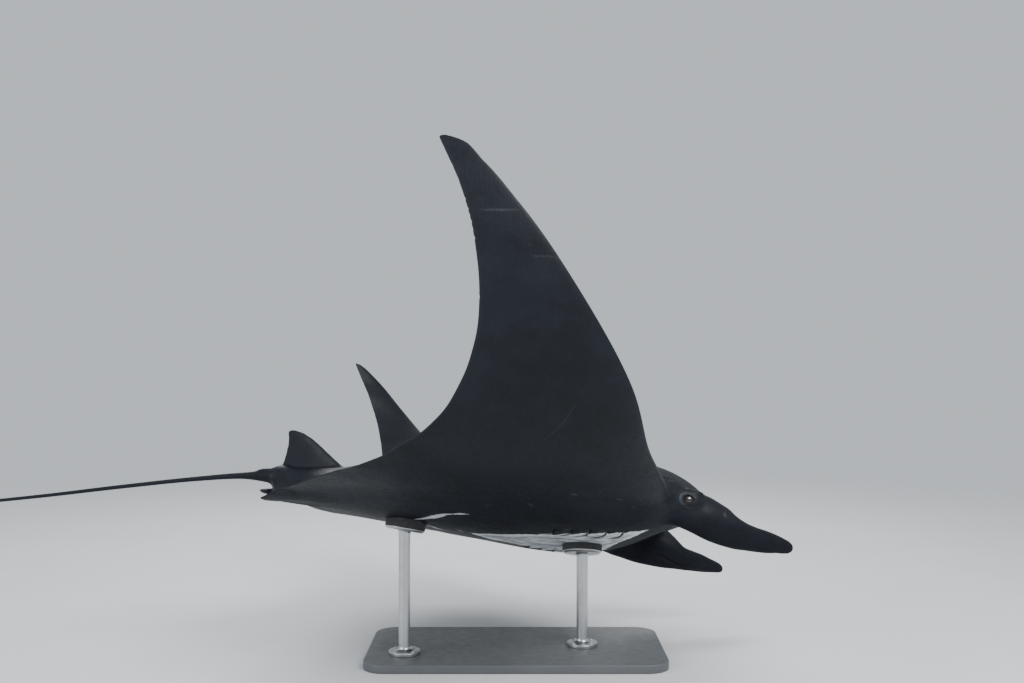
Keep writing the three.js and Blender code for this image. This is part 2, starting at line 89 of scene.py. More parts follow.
BODY_HALF = smooth([[0, 0.0760], [0.0144, 0.0865], [0.025, 0.0945], [0.045, 0.1040], [0.066, 0.1100], [0.10, 0.1270], [0.15, 0.1440], [0.21, 0.1490], [0.27, 0.1400], [0.33, 0.1120], [0.385, 0.0650], [0.42, 0.0400], [0.4555, 0.0190]])
TAIL_UP = smooth([[0.4500, 0.0172], [0.4874, 0.0150], [0.5264, 0.0095], [0.6024, -0.0040], [0.6756, -0.0180], [0.7500, -0.0305], [0.8500, -0.0425], [0.9450, -0.0480]])
TAIL_RADIUS = smooth([[0.4500, 0.0082], [0.465, 0.0054], [0.480, 0.0035], [0.500, 0.0027], [0.5264, 0.0023], [0.60, 0.0019], [0.72, 0.0015], [0.945, 0.0007]])
LOBES = {
    -1: [[-0.062, .0860, .0060, -.0080, -.0190], [-0.050, .0885, .0105, .0000, -.0235], [-0.036, .0900, .0130, .0095, -.0290], [-0.020, .0905, .0135, .0085, -.0360], [-0.004, .0895, .0130, .0021, -.0405], [0.0062, .0888, .0125, -.0036, -.0425], [0.0102, .0885, .0122, -.0073, -.0432], [0.022, .0880, .0113, -.0150, -.0440], [0.034, .0882, .0104, -.0198, -.0451], [0.046, .0886, .0094, -.0231, -.0462], [0.057, .0888, .0082, -.0267, -.0461], [0.066, .0889, .0068, -.0305, -.0459], [0.0715, .0889, .0050, -.0336, -.0444], [0.0740, .0889, .0026, -.0364, -.0414]],
    1: [[-0.085, .0800, .0060, -.0120, -.0235], [-0.070, .0850, .0100, -.0100, -.0302], [-0.054, .0880, .0120, -.0040, -.0340], [-0.036, .0900, .0135, .0085, -.0382], [-0.018, .0905, .0138, .0085, -.0410], [-0.002, .0895, .0132, .0046, -.0430], [0.012, .0885, .0122, -.0068, -.0438], [0.024, .0880, .0113, -.0180, -.0447], [0.036, .0882, .0104, -.0222, -.0452], [0.048, .0886, .0094, -.0256, -.0460], [0.059, .0888, .0082, -.0300, -.0462], [0.068, .0889, .0066, -.0334, -.0460], [0.0730, .0889, .0048, -.0362, -.0454], [0.0752, .0889, .0026, -.0386, -.0438]],
}
LOBE_REACH = {-1: 1.0, 1: 0.935}
DORSAL_FOOT, DORSAL_TALL = 0.0235, 0.0430
DORSAL = np.array([[0, .3680, .4460, .0052], [.2, .3850, .4450, .0045], [.42, .3965, .4432, .0037], [.64, .4075, .4420, .0030], [.82, .4172, .4424, .0023], [.94, .4262, .4430, .0016], [1, .4340, .4424, .0008]])
PELVIC = {1: np.array([[.0110, .4200, .4610, .0020, .0034, .0020], [.0180, .4220, .4650, .0018, .0030, .0018], [.0260, .4260, .4668, .0014, .0024, .0014], [.0340, .4330, .4645, .0008, .0017, .0008], [.0400, .4430, .4590, .0004, .0010, .0004]]),
          -1: np.array([[.0110, .4200, .4620, -.0060, .0034, -.0030], [.0190, .4225, .4655, -.0054, .0030, -.0028], [.0280, .4270, .4608, -.0033, .0024, -.0020], [.0370, .4330, .4538, -.0016, .0017, -.0010], [.0440, .4400, .4478, -.0003, .0010, -.0004]])}
NECK, HEAD_HALF = 0.066, 0.110
WING_TIP = {-1: (.4941, .0050, .0014, .0066), 1: (.4982, .0065, .0006, .0020)}   # span of the tip, where its rounding starts, bulge, fuller front
EDGE = 0.0005                                 # half thickness left at the fin edges
EYE = dict(back=0.0430, span=0.1015, up=0.0015, radius=0.0068)
YAW, PITCH, BANK = 11.67, -5.16, 16.97


def ramp(a, b, x):
    t = np.clip((x - a) / (b - a), 0, 1)
    return t * t * (3 - 2 * t)


def wing_part(back, s):
    front = np.where(s < HEAD_HALF, NECK, np.maximum(NECK, LEADING(s)))
    u = np.clip((back - front) / (TRAILING(s) - front), 0, 1)
    thick = 0.055 * np.maximum(0, 1 - s / 0.5) ** 1.3 + 0.0012
    return thick * np.sqrt(u) * (1 - u) ** 1.2 / 0.357 * ramp(0.02, 0.13, s)


def core_part(back, s, height, hp, bp, hr, br, f, t):
    q = np.clip(s / BODY_HALF(back), 0, 1)
    k = ramp(f, t, back)
    return height * (1 - q ** (hp + (bp - hp) * k)) ** (hr + (br - hr) * k)


def join(a, b):
    return (a ** 2.2 + b ** 2.2) ** (1 / 2.2)


def heights(back, s):
    """Top and bottom of the flat disc at (back, |span|): joined, and of the wing alone."""
    w = wing_part(back, s)
    t = core_part(back, s, BACK_HEIGHT(back), 4, 2.2, .5, 1.2, .05, .15)
    b = core_part(back, s, BELLY_DEPTH(back), 4, 2.2, .5, 1.2, .09, .24)
    return join(t, .6 * w) + EDGE, -join(b, .4 * w) - EDGE, .6 * w + EDGE, -.4 * w - EDGE


def lift(back, span):
    s = np.abs(span)
    return np.where(span > 0, .0065 * ramp(.22, .37, back) * ramp(0, .035, s) * (1 - ramp(.09, .22, s)), 0)


def curl(p):
    """Flat pose (back, span, up), in disc widths, to body axes in mm."""
    back, span, up = p[:, 0], p[:, 1], p[:, 2]
    side, s = np.where(span < 0, -1., 1.), np.abs(span)
    k = 1 + .1897 * (np.minimum(back, .47) - .22) / .15

    def angle(t):
        q = np.clip((t - .075) / .4455, 0, 1)
        return np.where(t <= .075, 0, k * (1.1757 * q * q * (3 - 2 * q) + .3288 * (t - .075)))
    y, z = np.minimum(s, .075), np.zeros_like(s)
    h = np.maximum(s - .075, 0) / 40
    for i in range(40):
        a = angle(.075 + (i + .5) * h)
        y = y + np.cos(a) * h
        z = z + np.sin(a) * h
    a = angle(s)
    up = up + lift(back, span)
    return np.stack([-back, side * (y - up * np.sin(a)), z + up * np.cos(a)], 1) * DW


def turn():
    z, y, x = math.radians(YAW), math.radians(-PITCH), math.radians(-BANK)
    rz = np.array([[math.cos(z), -math.sin(z), 0], [math.sin(z), math.cos(z), 0], [0, 0, 1]])
    ry = np.array([[math.cos(y), 0, math.sin(y)], [0, 1, 0], [-math.sin(y), 0, math.cos(y)]])
    rx = np.array([[1, 0, 0], [0, math.cos(x), -math.sin(x)], [0, math.sin(x), math.cos(x)]])
    return rz @ ry @ rx


TURN = turn()


def to_world(body_mm):
    return (body_mm @ TURN.T + JAW) / 1000.0


def posed(flat_mm):
    """Flat pose in mm (x forward, y left, z up) to the stand's frame in metres."""
    p = np.stack([-flat_mm[:, 0], flat_mm[:, 1], flat_mm[:, 2]], 1) / DW
    return to_world(curl(p))


# ------------------------------------------------------------- implicit blending
def smin(a, b, k):
    h = np.maximum(k - np.abs(a - b), 0) / k
    return np.minimum(a, b) - h * h * k * .25


def smax(a, b, k):
    h = np.maximum(k - np.abs(a - b), 0) / k
    return np.maximum(a, b) + h * h * k * .25


def graded(points):
    """Grid lines between stations [(position, step), ...], the step changing smoothly."""
    out = [points[0][0]]
    for (a, sa), (b, sb) in zip(points[:-1], points[1:]):
        n = max(1, int(round((b - a) / ((sa + sb) / 2))))
        t = np.linspace(0, 1, n + 1)[1:]
        # spacing grows linearly from sa to sb
        r = sb / sa
        w = t if abs(r - 1) < 1e-6 else (t + (r - 1) * t * t / 2) / (1 + (r - 1) / 2)
        out += list(a + (b - a) * w)
    return np.array(out)


C = 1.12
CUT = 825.0                                   # where the wings carry on in rings
TAIL_CUT = -2450.0                            # and the tail
REAR = -float(TRAILING(0)) * DW
xs = graded([(-2490, 9 * C), (-2310, 6.5 * C), (REAR - 5, 2.2 * C), (REAR + 9, 2.2 * C), (-2225, 6.0 * C), (-2100, 6.5 * C), (-1700, 9 * C), (-1000, 6 * C), (-960, 3.4 * C), (-400, 3.4 * C), (385, 3.6 * C)])
yh = graded([(0, 2.6 * C), (40, 3.0 * C), (90, 4.6 * C), (370, 4.6 * C), (400, 2.9 * C), (545, 2.9 * C), (620, 4.8 * C), (CUT + 24, 8 * C)])
ys = np.concatenate([-yh[:0:-1], yh])
zs = graded([(-248, 3.4 * C), (-30, 3.2 * C), (-9, 1.7 * C), (9, 1.7 * C), (34, 2.8 * C), (80, 3.2 * C), (130, 4.8 * C), (350, 5.5 * C)])
print("grid", len(xs), len(ys), len(zs), len(xs) * len(ys) * len(zs) / 1e6)


def sheared(xp, y):
    """Grid x to true x: behind the shoulders the grid planes bend with the trailing edge."""
    return xp + (TRAILING(0) - TRAILING(np.abs(y) / DW)) * DW * ramp(-800, -2150, xp)


# outline of the flat wings, as a signed distance in plan
def outline():
    s1 = np.linspace(HEAD_HALF - .03, .30, 1400)
    le = np.stack([-np.maximum(NECK, LEADING(s1)) * DW, s1 * DW], 1)
    s2 = np.linspace(0, .30, 1600)
    te = np.stack([-TRAILING(s2) * DW, s2 * DW], 1)
    return le, te


def plan_distance(X, Y):
    """Signed distance (inside positive) to the wing outline for plan nodes; Y is |y|."""
    le, te = outline()
    d = np.full(X.shape, 1e3)
    for line, inward in ((le, -1), (te, 1)):
        tan = np.gradient(line, axis=0)
        tan /= np.linalg.norm(tan, axis=1)[:, None]
        nor = np.stack([-tan[:, 1], tan[:, 0]], 1)
        flip = np.sign(nor[:, 0]) * inward
        nor *= flip[:, None]
        tree = KDTree(len(line))
        for i, q in enumerate(line):
            tree.insert((q[0], q[1], 0), i)
        tree.balance()
        # only near the line is the distance needed
        band = np.abs(X - np.interp(Y, line[:, 1], line[:, 0])) < 120
        near = np.where(band)
        sx, sy = X[near], Y[near]
        v = np.empty(len(sx))
        for n, (px, py) in enumerate(zip(sx, sy)):
            q, i, dist = tree.find((px, py, 0))
            dot = (px - line[i, 0]) * nor[i, 0] + (py - line[i, 1]) * nor[i, 1]
            v[n] = dot if dist < 6 else math.copysign(dist, dot)
        e = (np.interp(Y, line[:, 1], line[:, 0]) - X) * (-inward)
        e = np.sign(e) * np.maximum(np.abs(e) * .6, 60)
        e[near] = v
        d = np.minimum(d, e)
    return d


Y2, XP2 = np.meshgrid(np.abs(ys), xs)
X2 = sheared(XP2, Y2)
back2, span2 = -X2 / DW, Y2 / DW


def sheets(x, y):
    return [h * DW for h in heights(np.maximum(-x / DW, 0), y / DW)]


T2, B2, TW2, BW2 = sheets(X2, Y2)
_dx = [(b - a) / 2.0 for a, b in zip(sheets(X2 - 1, Y2), sheets(X2 + 1, Y2))]
_dy = [(b - a) / 2.0 for a, b in zip(sheets(X2, np.maximum(Y2 - 1, 0)), sheets(X2, np.maximum(Y2 - 1, 0) + 2))]
GT, GB, GTW, GBW = [np.sqrt(1 + np.minimum(a * a + b * b, 60.0)) for a, b in zip(_dx, _dy)]
half_rows = plan_distance(X2[:, len(yh) - 1:], Y2[:, len(yh) - 1:])
D2 = np.concatenate([half_rows[:, :0:-1], half_rows], 1)
H2 = BODY_HALF(np.clip(back2, 0, .4555)) * DW - Y2


# ------------------------------------------------------------------ gill slits
# Each slit runs from its outer end, forward, to its inner end, nearer the midline and the tail.
GILLS = [((.1045, .0880), (.1140, .0440)), ((.1215, .0885), (.1320, .0430)), ((.1390, .0870), (.1495, .0405)),
         ((.1560, .0810), (.1655, .0375)), ((.1725, .0725), (.1805, .0345))]


def gill_lines():
    """Slit centre lines as dense plan points, with the place along each, 0..1."""
    out = []
    for (b0, s0), (b1, s1) in GILLS:
        t = np.linspace(0, 1, 160)
        s = s0 + (s1 - s0) * t
        b = b0 + (b1 - b0) * t - .0065 * np.sin(math.pi * t) ** 1.0 + .0020 * np.sin(2 * math.pi * t)
        out.append((b, s, t))
    return out


def gill_field(back, s):
    """For plan points: signed distance behind the nearest slit line (mm) and its strength 0..1."""
    best = np.full(back.shape, 1e3)
    power = np.zeros(back.shape)
    for b, sl, t in gill_lines():
        order = np.argsort(sl)
        line_b = np.interp(s, sl[order], b[order])
        along = np.interp(s, sl[order], t[order])
        g = np.gradient(b[order], sl[order])
        tilt = 1 / np.sqrt(1 + np.interp(s, sl[order], g) ** 2)
        d = (back - line_b) * DW * tilt
        over = np.maximum(sl.min() - s, 0) + np.maximum(s - sl.max(), 0)
        p = ramp(0, .24, np.minimum(along, 1 - along)) * (over <= 0)
        near = np.abs(d) < np.abs(best)
        near &= over <= 0
        best = np.where(near, d, best)
        power = np.where(near, p, power)
    return best, power


# ------------------------------------------------------------------ field pieces
LOBE_CURVES = {}
for side, rows in LOBES.items():
    t = np.array(rows)
    x = t[:, 0].copy()
    x[x > 0] *= LOBE_REACH[side]
    # a rounded end cap beyond the last row
    x = np.append(x, x[-1] + .0008)
    cols = [np.append(t[:, 1], t[-1, 1]), np.append(t[:, 2], .0004),
            np.append((t[:, 3] + t[:, 4]) / 2, (t[-1, 3] + t[-1, 4]) / 2), np.append((t[:, 3] - t[:, 4]) / 2, .0004)]
    LOBE_CURVES[side] = [smooth(np.stack([x, c], 1)) for c in cols] + [x[0], x[-1]]


def lobe_field(x, y, z, side):
    """Furled lobe: a rolled paddle, its free edge winding from the inner side of the root to the underside of the tip."""
    cy, ha, cz, hb, x0, x1 = LOBE_CURVES[side]
    f = x / DW
    fx = np.clip(f, x0, x1)
    a, b = np.maximum(ha(fx), .0003) * DW, np.maximum(hb(fx), .0003) * DW
    dy = (y - side * cy(fx) * DW) * side          # outward positive
    dz = z - cz(fx) * DW
    r = np.sqrt((dy / a) ** 2 + (dz / b) ** 2) + 1e-6
    grad = np.sqrt((dy / a ** 2) ** 2 + (dz / b ** 2) ** 2) / r + 1e-6
    # angle from straight down, growing inwards (towards the mouth)
    ang = np.arctan2(-dy / a, -dz / b)
    t = np.clip((f - x0) / (x1 - x0), 0, 1)
    edge = 1.25 - 1.75 * ramp(.25, 1.0, t)         # where the free edge lies
    turnd = np.mod(ang - edge, 2 * math.pi) / (2 * math.pi)
    scroll = ramp(.30, .52, t)                     # the roll opens out of the solid root
    step = .11 * scroll * (1 - .35 * ramp(.9, 1, t))
    # the outer layer ends at the free edge, and the layer under it goes on a step lower
    run = turnd * 2 * math.pi * np.sqrt(a * b)
    radius = 1 - step * (1 - ramp(0, .62, turnd)) * (1 - np.exp(-(run / 7.0) ** 2))
    radius = radius + .015 - scroll * .09 * np.exp(-((run - 9.0) / 5.5) ** 2) * ramp(0, 5, run)
    body = (r - radius) / grad
    ends = np.maximum((x0 - f) * DW, (f - x1) * DW)
    return np.maximum(body, ends)


def dorsal_field(x, y, z):
    back = -x / DW
    h = (z / DW - DORSAL_FOOT) / DORSAL_TALL
    hc = np.clip(h, 0, 1)
    f = np.interp(hc, DORSAL[:, 0], DORSAL[:, 1])
    r = np.interp(hc, DORSAL[:, 0], DORSAL[:, 2])
    m = np.interp(hc, DORSAL[:, 0], DORSAL[:, 3])
    u = np.clip((back - f) / np.maximum(r - f, 1e-4), 0, 1)
    half = m * (.16 + .84 * np.sqrt(u) * (1 - u) ** .9 / .42) * DW
    side = np.abs(y) - half
    plan = np.maximum(f - back, back - r) * DW * .85
    cap = np.maximum(h - 1, -.12 - h) * DORSAL_TALL * DW
    return smax(smax(side, plan, 6.0), cap, 6.0)


def pelvic_field(x, y, z, side):
    rows_ = PELVIC[side]
    back = -x / DW
    s = y * side / DW
    sc = np.clip(s, rows_[0, 0], rows_[-1, 0])
    f, r, hang, m, level = [np.interp(sc, rows_[:, 0], rows_[:, i]) for i in (1, 2, 3, 4, 5)]
    u = np.clip((back - f) / (r - f), 0, 1)
    up = level + (hang - level) * u ** 1.3
    half = np.maximum(m * (.28 + .72 * np.sqrt(u) * (1 - u) ** .7 / .45) * DW, 2.6)
    thick = np.maximum(z - up * DW - half, up * DW - half - z)
    plan = np.maximum(f - back, back - r) * DW * .8
    tip = (s - rows_[-1, 0]) * DW
    root = (rows_[0, 0] - s) * DW
    return smax(smax(thick, plan, 7.0), np.maximum(tip, root), 7.0)


def tail_field(x, y, z):
    back = -x / DW
    b = np.clip(back, .4450, .53)
    rad = TAIL_RADIUS(b) * DW
    up = TAIL_UP(b) * DW
    r = np.sqrt(y ** 2 + ((z - up) / 1.06) ** 2)
    return np.maximum(r - rad, (.4400 - back) * DW)


def ellipsoid(x, y, z, c, r):
    q = np.sqrt(((x - c[0]) / r[0]) ** 2 + ((y - c[1]) / r[1]) ** 2 + ((z - c[2]) / r[2]) ** 2)
    return (q - 1) * min(r) * .5 + (q - 1) * (sum(r) / 3) * .5


EYE_AT = (-EYE["back"] * DW, EYE["span"] * DW, EYE["up"] * DW)
EYE_R = EYE["radius"] * DW


def field(i0, i1):
    """The body's implicit value on grid planes i0..i1 (negative inside, about millimetres)."""
    sl = slice(i0, i1)
    e3 = lambda a: a[sl, :, None]
    x = e3(X2)
    y = ys[None, :, None]
    z = zs[None, None, :]
    back = -x / DW
    upper = (z - e3(T2)) / e3(GT)
    lower = (e3(B2) - z) / e3(GB)
    plan = np.minimum(-np.maximum(e3(D2), np.where(back > 0, e3(H2), x * -1.0)), 1e3)
    fj = smax(np.maximum(upper, lower), np.where(back < NECK, np.minimum(-e3(H2), -e3(D2)), -np.maximum(e3(D2), e3(H2))), 2.0)
    fw = smax(np.maximum((z - e3(TW2)) / e3(GTW), (e3(BW2) - z) / e3(GBW)), -e3(D2), 2.0)
    # the head and trunk core as a boxy tube, so that its wall meets the wings in a fillet
    H = BODY_HALF(np.clip(back, 0, .4555)) * DW
    k = ramp(.05, .15, back)
    kb = ramp(.09, .24, back)
    tz = BACK_HEIGHT(np.clip(back, 0, .4555)) * DW + 2.0
    bz = BELLY_DEPTH(np.clip(back, 0, .4555)) * DW + 2.0
    up = z >= 0
    p = np.where(up, 4 + (2.2 - 4) * k, 4 + (2.2 - 4) * kb)
    q = 1 / np.where(up, .5 + .7 * k, .5 + .7 * kb)
    zz = np.abs(z) / np.where(up, tz, bz)
    sy = np.abs(y) / H
    g = np.maximum(sy, 1e-4) ** p + np.maximum(zz, 1e-4) ** q - 1
    gr = np.sqrt((p * np.maximum(sy, .02) ** (p - 1) / H) ** 2 + (q * np.maximum(zz, .02) ** (q - 1) / np.where(up, tz, bz)) ** 2) + 1e-6
    fc = g / gr
    f = np.minimum(fj, smin(fc, fw, 46.0 * ramp(.04, .07, back) + 1.0))
    # the front: a bluff upper lip, with the lower jaw a little behind it
    zc = MOUTH_UP - 8.0 * (y / 330.0) ** 2
    front = -2.0 - 13.0 * ramp(6, -14, z - zc) - 10.0 * (y / 380.0) ** 2
    f = smax(f, x - front, 16.0)
    # the trunk closes round the root of the tail
    rear = (back - .4535) * DW + 0 * z
    f = np.where((back > .425) & (np.abs(y) < 200), smax(f, rear, 2.0 + 46.0 * (1 - ramp(60, 150, np.abs(y)))), f)
    return f


MOUTH_UP = -6.0


def refine(f, i0, i1):
    x = X2[i0:i1, :, None]
    y = ys[None, :, None]
    z = zs[None, None, :]
    lo, hi = xs[i0], xs[i1 - 1]
    if hi > -470:
        for side in (-1, 1):
            m = ys * side > 250
            lf = lobe_field(x[:, m], ys[None, m, None], z, side)
            back = -x[:, m] / DW
            blend = 22.0 + 10.0 * ramp(.02, .06, back)
            f[:, m, :] = smin(f[:, m, :], lf, blend)
    if hi > -330 and lo < -90:
        for side in (-1, 1):
            m = ys * side > 380
            yy = ys[None, m, None] * side
            xm = x[:, m]
            ex, ey, ez = EYE_AT
            c, s = math.cos(math.radians(14)), math.sin(math.radians(14))
            # local axes of the eye, turned a little forwards: u along, v outwards
            u = (xm - ex) * c + (yy - ey) * s
            v = -(xm - ex) * s + (yy - ey) * c
            w = z - ez
            g = f[:, m, :]
            # socket rim: a low mound that carries the lids
            mound = ellipsoid(u, v, w, (-2, -6.0, 2), (66, 27.0, 50))
            g = smin(g, mound, 24.0)
            brow = ellipsoid(u, v, w, (4, -16.0, 33), (74, 26.0, 17))
            g = smin(g, brow, 22.0)
            lids = ellipsoid(u, v, w, (0, 0, 0), (34.5, 21.0, 31.5))
            g = smin(g, lids, 9.0)
            # opening between the lids, and the hollow for the eyeball
            hole = np.sqrt((u / 24.5) ** 2 + ((w + .06 * u) / 17.5) ** 2) - 1
            hole = np.maximum(hole * 19.0, 2.0 - v)
            ball = ellipsoid(u, v, w, (0, 0, 0), (30.0, 18.6, 27.6))
            g = smax(g, -ball, 1.5)
            g = smax(g, -hole, 5.0)
            # fold behind and under the eye
            ring = np.abs(np.sqrt((u / 47.0) ** 2 + ((w + 3) / 37.0) ** 2) - 1) * 41.0
            part = ramp(.05, .5, (-u * .6 - w * .8) / 45.0)
            g = g + 4.2 * part * np.exp(-(ring / 4.5) ** 2)
            ring2 = np.abs(np.sqrt((u / 66.0) ** 2 + ((w + 6) / 50.0) ** 2) - 1) * 57.0
            part2 = ramp(.15, .6, (-u * .75 - w * .65) / 60.0)
            g = g + 3.2 * part2 * np.exp(-(ring2 / 5.5) ** 2)
            f[:, m, :] = g
    if hi > -420 and lo < -240:
        # spiracle: a short slit on the shoulder just behind the eye
        for side in (-1, 1):
            m = ys * side > 380
            yy = ys[None, m, None] * side
            a = math.radians(-12)
            u = (x[:, m] + 322) * math.cos(a) + (yy - 494) * math.sin(a)
            v = -(x[:, m] + 322) * math.sin(a) + (yy - 494) * math.cos(a)
            slit = np.sqrt((u / 27.0) ** 2 + (v / 5.2) ** 2 + ((z - 78) / 60.0) ** 2) - 1
            f[:, m, :] = smax(f[:, m, :], -slit * 5.5, 6.0)
    if hi > -150:
        # mouth: a wide slot across the front with rolled lips
        e = y / 330.0
        zc = MOUTH_UP - 8.0 * e ** 2
        depth = 118.0 * (1 - .35 * np.minimum(e * e, 1.2))
        t = np.clip((x + depth) / depth, 0, 1)
        gape = (3.0 + 9.5 * t ** 1.5) * np.clip(1 - .75 * e ** 4, .05, 1)
        slot = np.maximum(np.maximum(np.abs(z - zc) - gape, np.abs(y) - 338.0), -(x + depth))
        # rolled lips: a low bead on each side of the slot, with a fold behind it
        lip = ramp(-62, -18, x) * (1 - ramp(300, 350, np.abs(y)))
        f[:] = f - lip * (2.6 * np.exp(-((slot - 8.0) / 5.5) ** 2) - 1.8 * np.exp(-((slot - 21.0) / 5.0) ** 2))
        f[:] = smax(f, -slot, 8.0)
        # nostrils: short slits in the rim of the upper lip, near the corners of the mouth
        for side in (-1, 1):
            yy = y * side
            nos = ellipsoid(x, yy, z, (-9, 318, 3.5), (10, 15, 3.4))
            f[:] = smax(f, -nos, 3.0)
    if lo < -1780:
        f[:] = smin(f, dorsal_field(x, y, z), 17.0)
        for side in (-1, 1):
            m = ys * side > 20
            f[:, m, :] = smin(f[:, m, :], pelvic_field(x[:, m], ys[None, m, None], z, side), 12.0)
        f[:] = smin(f, tail_field(x, y, z), 34.0)
        knob = ellipsoid(x, y, z, (-2302, 0, TAIL_UP(.4604) * DW + 24), (44, 17, 14))
        f[:] = smin(f, knob, 14.0)
        vent = np.sqrt(((x + 2120) / 62.0) ** 2 + (y / 5.5) ** 2) - 1
        f[:] = smax(f, -np.maximum(vent * 5.0, z - (-6.0)), 9.0)
    return f


# belly relief: gill covers like louvres, each dropping into its slit
gd, gp = gill_field(np.maximum(back2, 0), span2)
cover = np.where(gd <= 0, np.exp(gd / 34.0), np.exp(-gd / 9.0))
RELIEF = 5.5 * gp * cover * np.where(gd <= 0, 1.0, 0.0) + 0.0
RELIEF_DROP = gp * np.exp(-np.maximum(gd - 4, 0) / 26.0) * (gd > 0) * 3.2
SLIT = np.abs(gd - 1.0) - 2.9 * np.sqrt(np.clip(gp, 0, 1))
SLIT = np.where(gp > .02, SLIT, 50.0)

F = np.empty((len(xs), len(ys), len(zs)), np.float32)
STEP = 24
for i0 in range(0, len(xs), STEP):
    i1 = min(i0 + STEP, len(xs))
    f = field(i0, i1)
    f = np.ascontiguousarray(f)
    f = refine(f, i0, i1)
    if xs[i0] < -440 and xs[i1 - 1] > -1010:
        zz = zs[None, None, :]
        under = ramp(-20, -60, zz + 0 * f)
        f = f - (RELIEF[i0:i1, :, None] - RELIEF_DROP[i0:i1, :, None]) * under
        depth = 26.0
        carve = np.maximum(SLIT[i0:i1, :, None] + 0 * zz, (zz - (B2[i0:i1, :, None] + depth)))
        f = np.where(zz < -25, smax(f, -carve, 5.0), f)
    F[i0:i1] = f
F[0], F[-1] = np.maximum(F[0], 1.0) * 0 + F[0], np.maximum(F[-1], 1.0)
F[:, :, 0] = np.maximum(F[:, :, 0], 1.0)
F[:, :, -1] = np.maximum(F[:, :, -1], 1.0)


# ------------------------------------------------------------------ meshing
def surface_nets(F, xs, ys, zs):
    S = F < 0
    n = np.zeros(tuple(k - 1 for k in F.shape), np.uint8)
    for a in (0, 1):
        for b in (0, 1):
            for c in (0, 1):
                n += S[a:S.shape[0] - 1 + a, b:S.shape[1] - 1 + b, c:S.shape[2] - 1 + c]
    active = (n > 0) & (n < 8)
    idx = np.argwhere(active)
    ids = np.full(active.shape, -1, np.int32)
    ids[active] = np.arange(len(idx))
    i, j, k = idx.T
    pos = np.zeros((len(idx), 3))
    w = np.zeros(len(idx))
    corner = [(a, b, c) for a in (0, 1) for b in (0, 1) for c in (0, 1)]
    for p in corner:
        for axis in range(3):
            if p[axis]:
                continue
            q = list(p)
            q[axis] = 1
            fa = F[i + p[0], j + p[1], k + p[2]].astype(float)
            fb = F[i + q[0], j + q[1], k + q[2]].astype(float)
            m = (fa < 0) != (fb < 0)
            t = np.where(m, fa / np.where(m, fa - fb, 1), 0)
            pa = np.stack([xs[i + p[0]], ys[j + p[1]], zs[k + p[2]]], 1)
            pb = np.stack([xs[i + q[0]], ys[j + q[1]], zs[k + q[2]]], 1)
            pos += m[:, None] * (pa + t[:, None] * (pb - pa))
            w += m
    pos /= w[:, None]
    quads = []
    # edges along x, y and z that cross the surface, each giving one quad of four cells
    m = S[:-1, 1:-1, 1:-1] != S[1:, 1:-1, 1:-1]
    a, b, c = np.argwhere(m).T
    b, c = b + 1, c + 1
    q = np.stack([ids[a, b - 1, c - 1], ids[a, b, c - 1], ids[a, b, c], ids[a, b - 1, c]], 1)
    q[~S[a, b, c]] = q[~S[a, b, c]][:, ::-1]
    quads.append(q)
    m = S[1:-1, :-1, 1:-1] != S[1:-1, 1:, 1:-1]
    a, b, c = np.argwhere(m).T
    a, c = a + 1, c + 1
    q = np.stack([ids[a - 1, b, c - 1], ids[a - 1, b, c], ids[a, b, c], ids[a, b, c - 1]], 1)
    q[~S[a, b, c]] = q[~S[a, b, c]][:, ::-1]
    quads.append(q)
    m = S[1:-1, 1:-1, :-1] != S[1:-1, 1:-1, 1:]
    a, b, c = np.argwhere(m).T
    a, b = a + 1, b + 1
    q = np.stack([ids[a - 1, b - 1, c], ids[a, b - 1, c], ids[a, b, c], ids[a - 1, b, c]], 1)
    q[~S[a, b, c]] = q[~S[a, b, c]][:, ::-1]
    quads.append(q)
    return pos, np.concatenate(quads), idx


def sample(F, p):
    """Trilinear value and gradient of the field at points p."""
    out, cell = [], []
    for ax, lines in enumerate((xs, ys, zs)):
        i = np.clip(np.searchsorted(lines, p[:, ax], side="right") - 1, 0, len(lines) - 2)
        h = lines[i + 1] - lines[i]
        out.append(np.clip((p[:, ax] - lines[i]) / h, 0, 1))
        cell.append((i, h))
    (i, hx), (j, hy), (k, hz) = cell
    u, v, w = out
    c = {(a, b, d): F[i + a, j + b, k + d].astype(float) for a in (0, 1) for b in (0, 1) for d in (0, 1)}
    lx = {(b, d): c[0, b, d] * (1 - u) + c[1, b, d] * u for b in (0, 1) for d in (0, 1)}
    val = (lx[0, 0] * (1 - v) + lx[1, 0] * v) * (1 - w) + (lx[0, 1] * (1 - v) + lx[1, 1] * v) * w
    gx_ = sum((c[1, b, d] - c[0, b, d]) * (v if b else 1 - v) * (w if d else 1 - w) for b in (0, 1) for d in (0, 1)) / hx
    gy_ = sum((c[a, 1, d] - c[a, 0, d]) * (u if a else 1 - u) * (w if d else 1 - w) for a in (0, 1) for d in (0, 1)) / hy
    gz_ = sum((c[a, b, 1] - c[a, b, 0]) * (u if a else 1 - u) * (v if b else 1 - v) for a in (0, 1) for b in (0, 1)) / hz
    return val, np.stack([gx_, gy_, gz_], 1)


def edges_of(quads):
    e = np.concatenate([quads[:, [0, 1]], quads[:, [1, 2]], quads[:, [2, 3]], quads[:, [3, 0]]])
    return e


def relax(pos, quads, amount, fixed=None):
    e = edges_of(quads)
    n = len(pos)
    cnt = np.bincount(e[:, 0], minlength=n) + np.bincount(e[:, 1], minlength=n)
    out = np.empty_like(pos)
    for ax in range(3):
        out[:, ax] = (np.bincount(e[:, 0], pos[e[:, 1], ax], n) + np.bincount(e[:, 1], pos[e[:, 0], ax], n)) / np.maximum(cnt, 1)
    new = pos + amount * (out - pos)
    if fixed is not None:
        new[fixed] = pos[fixed]
    return new


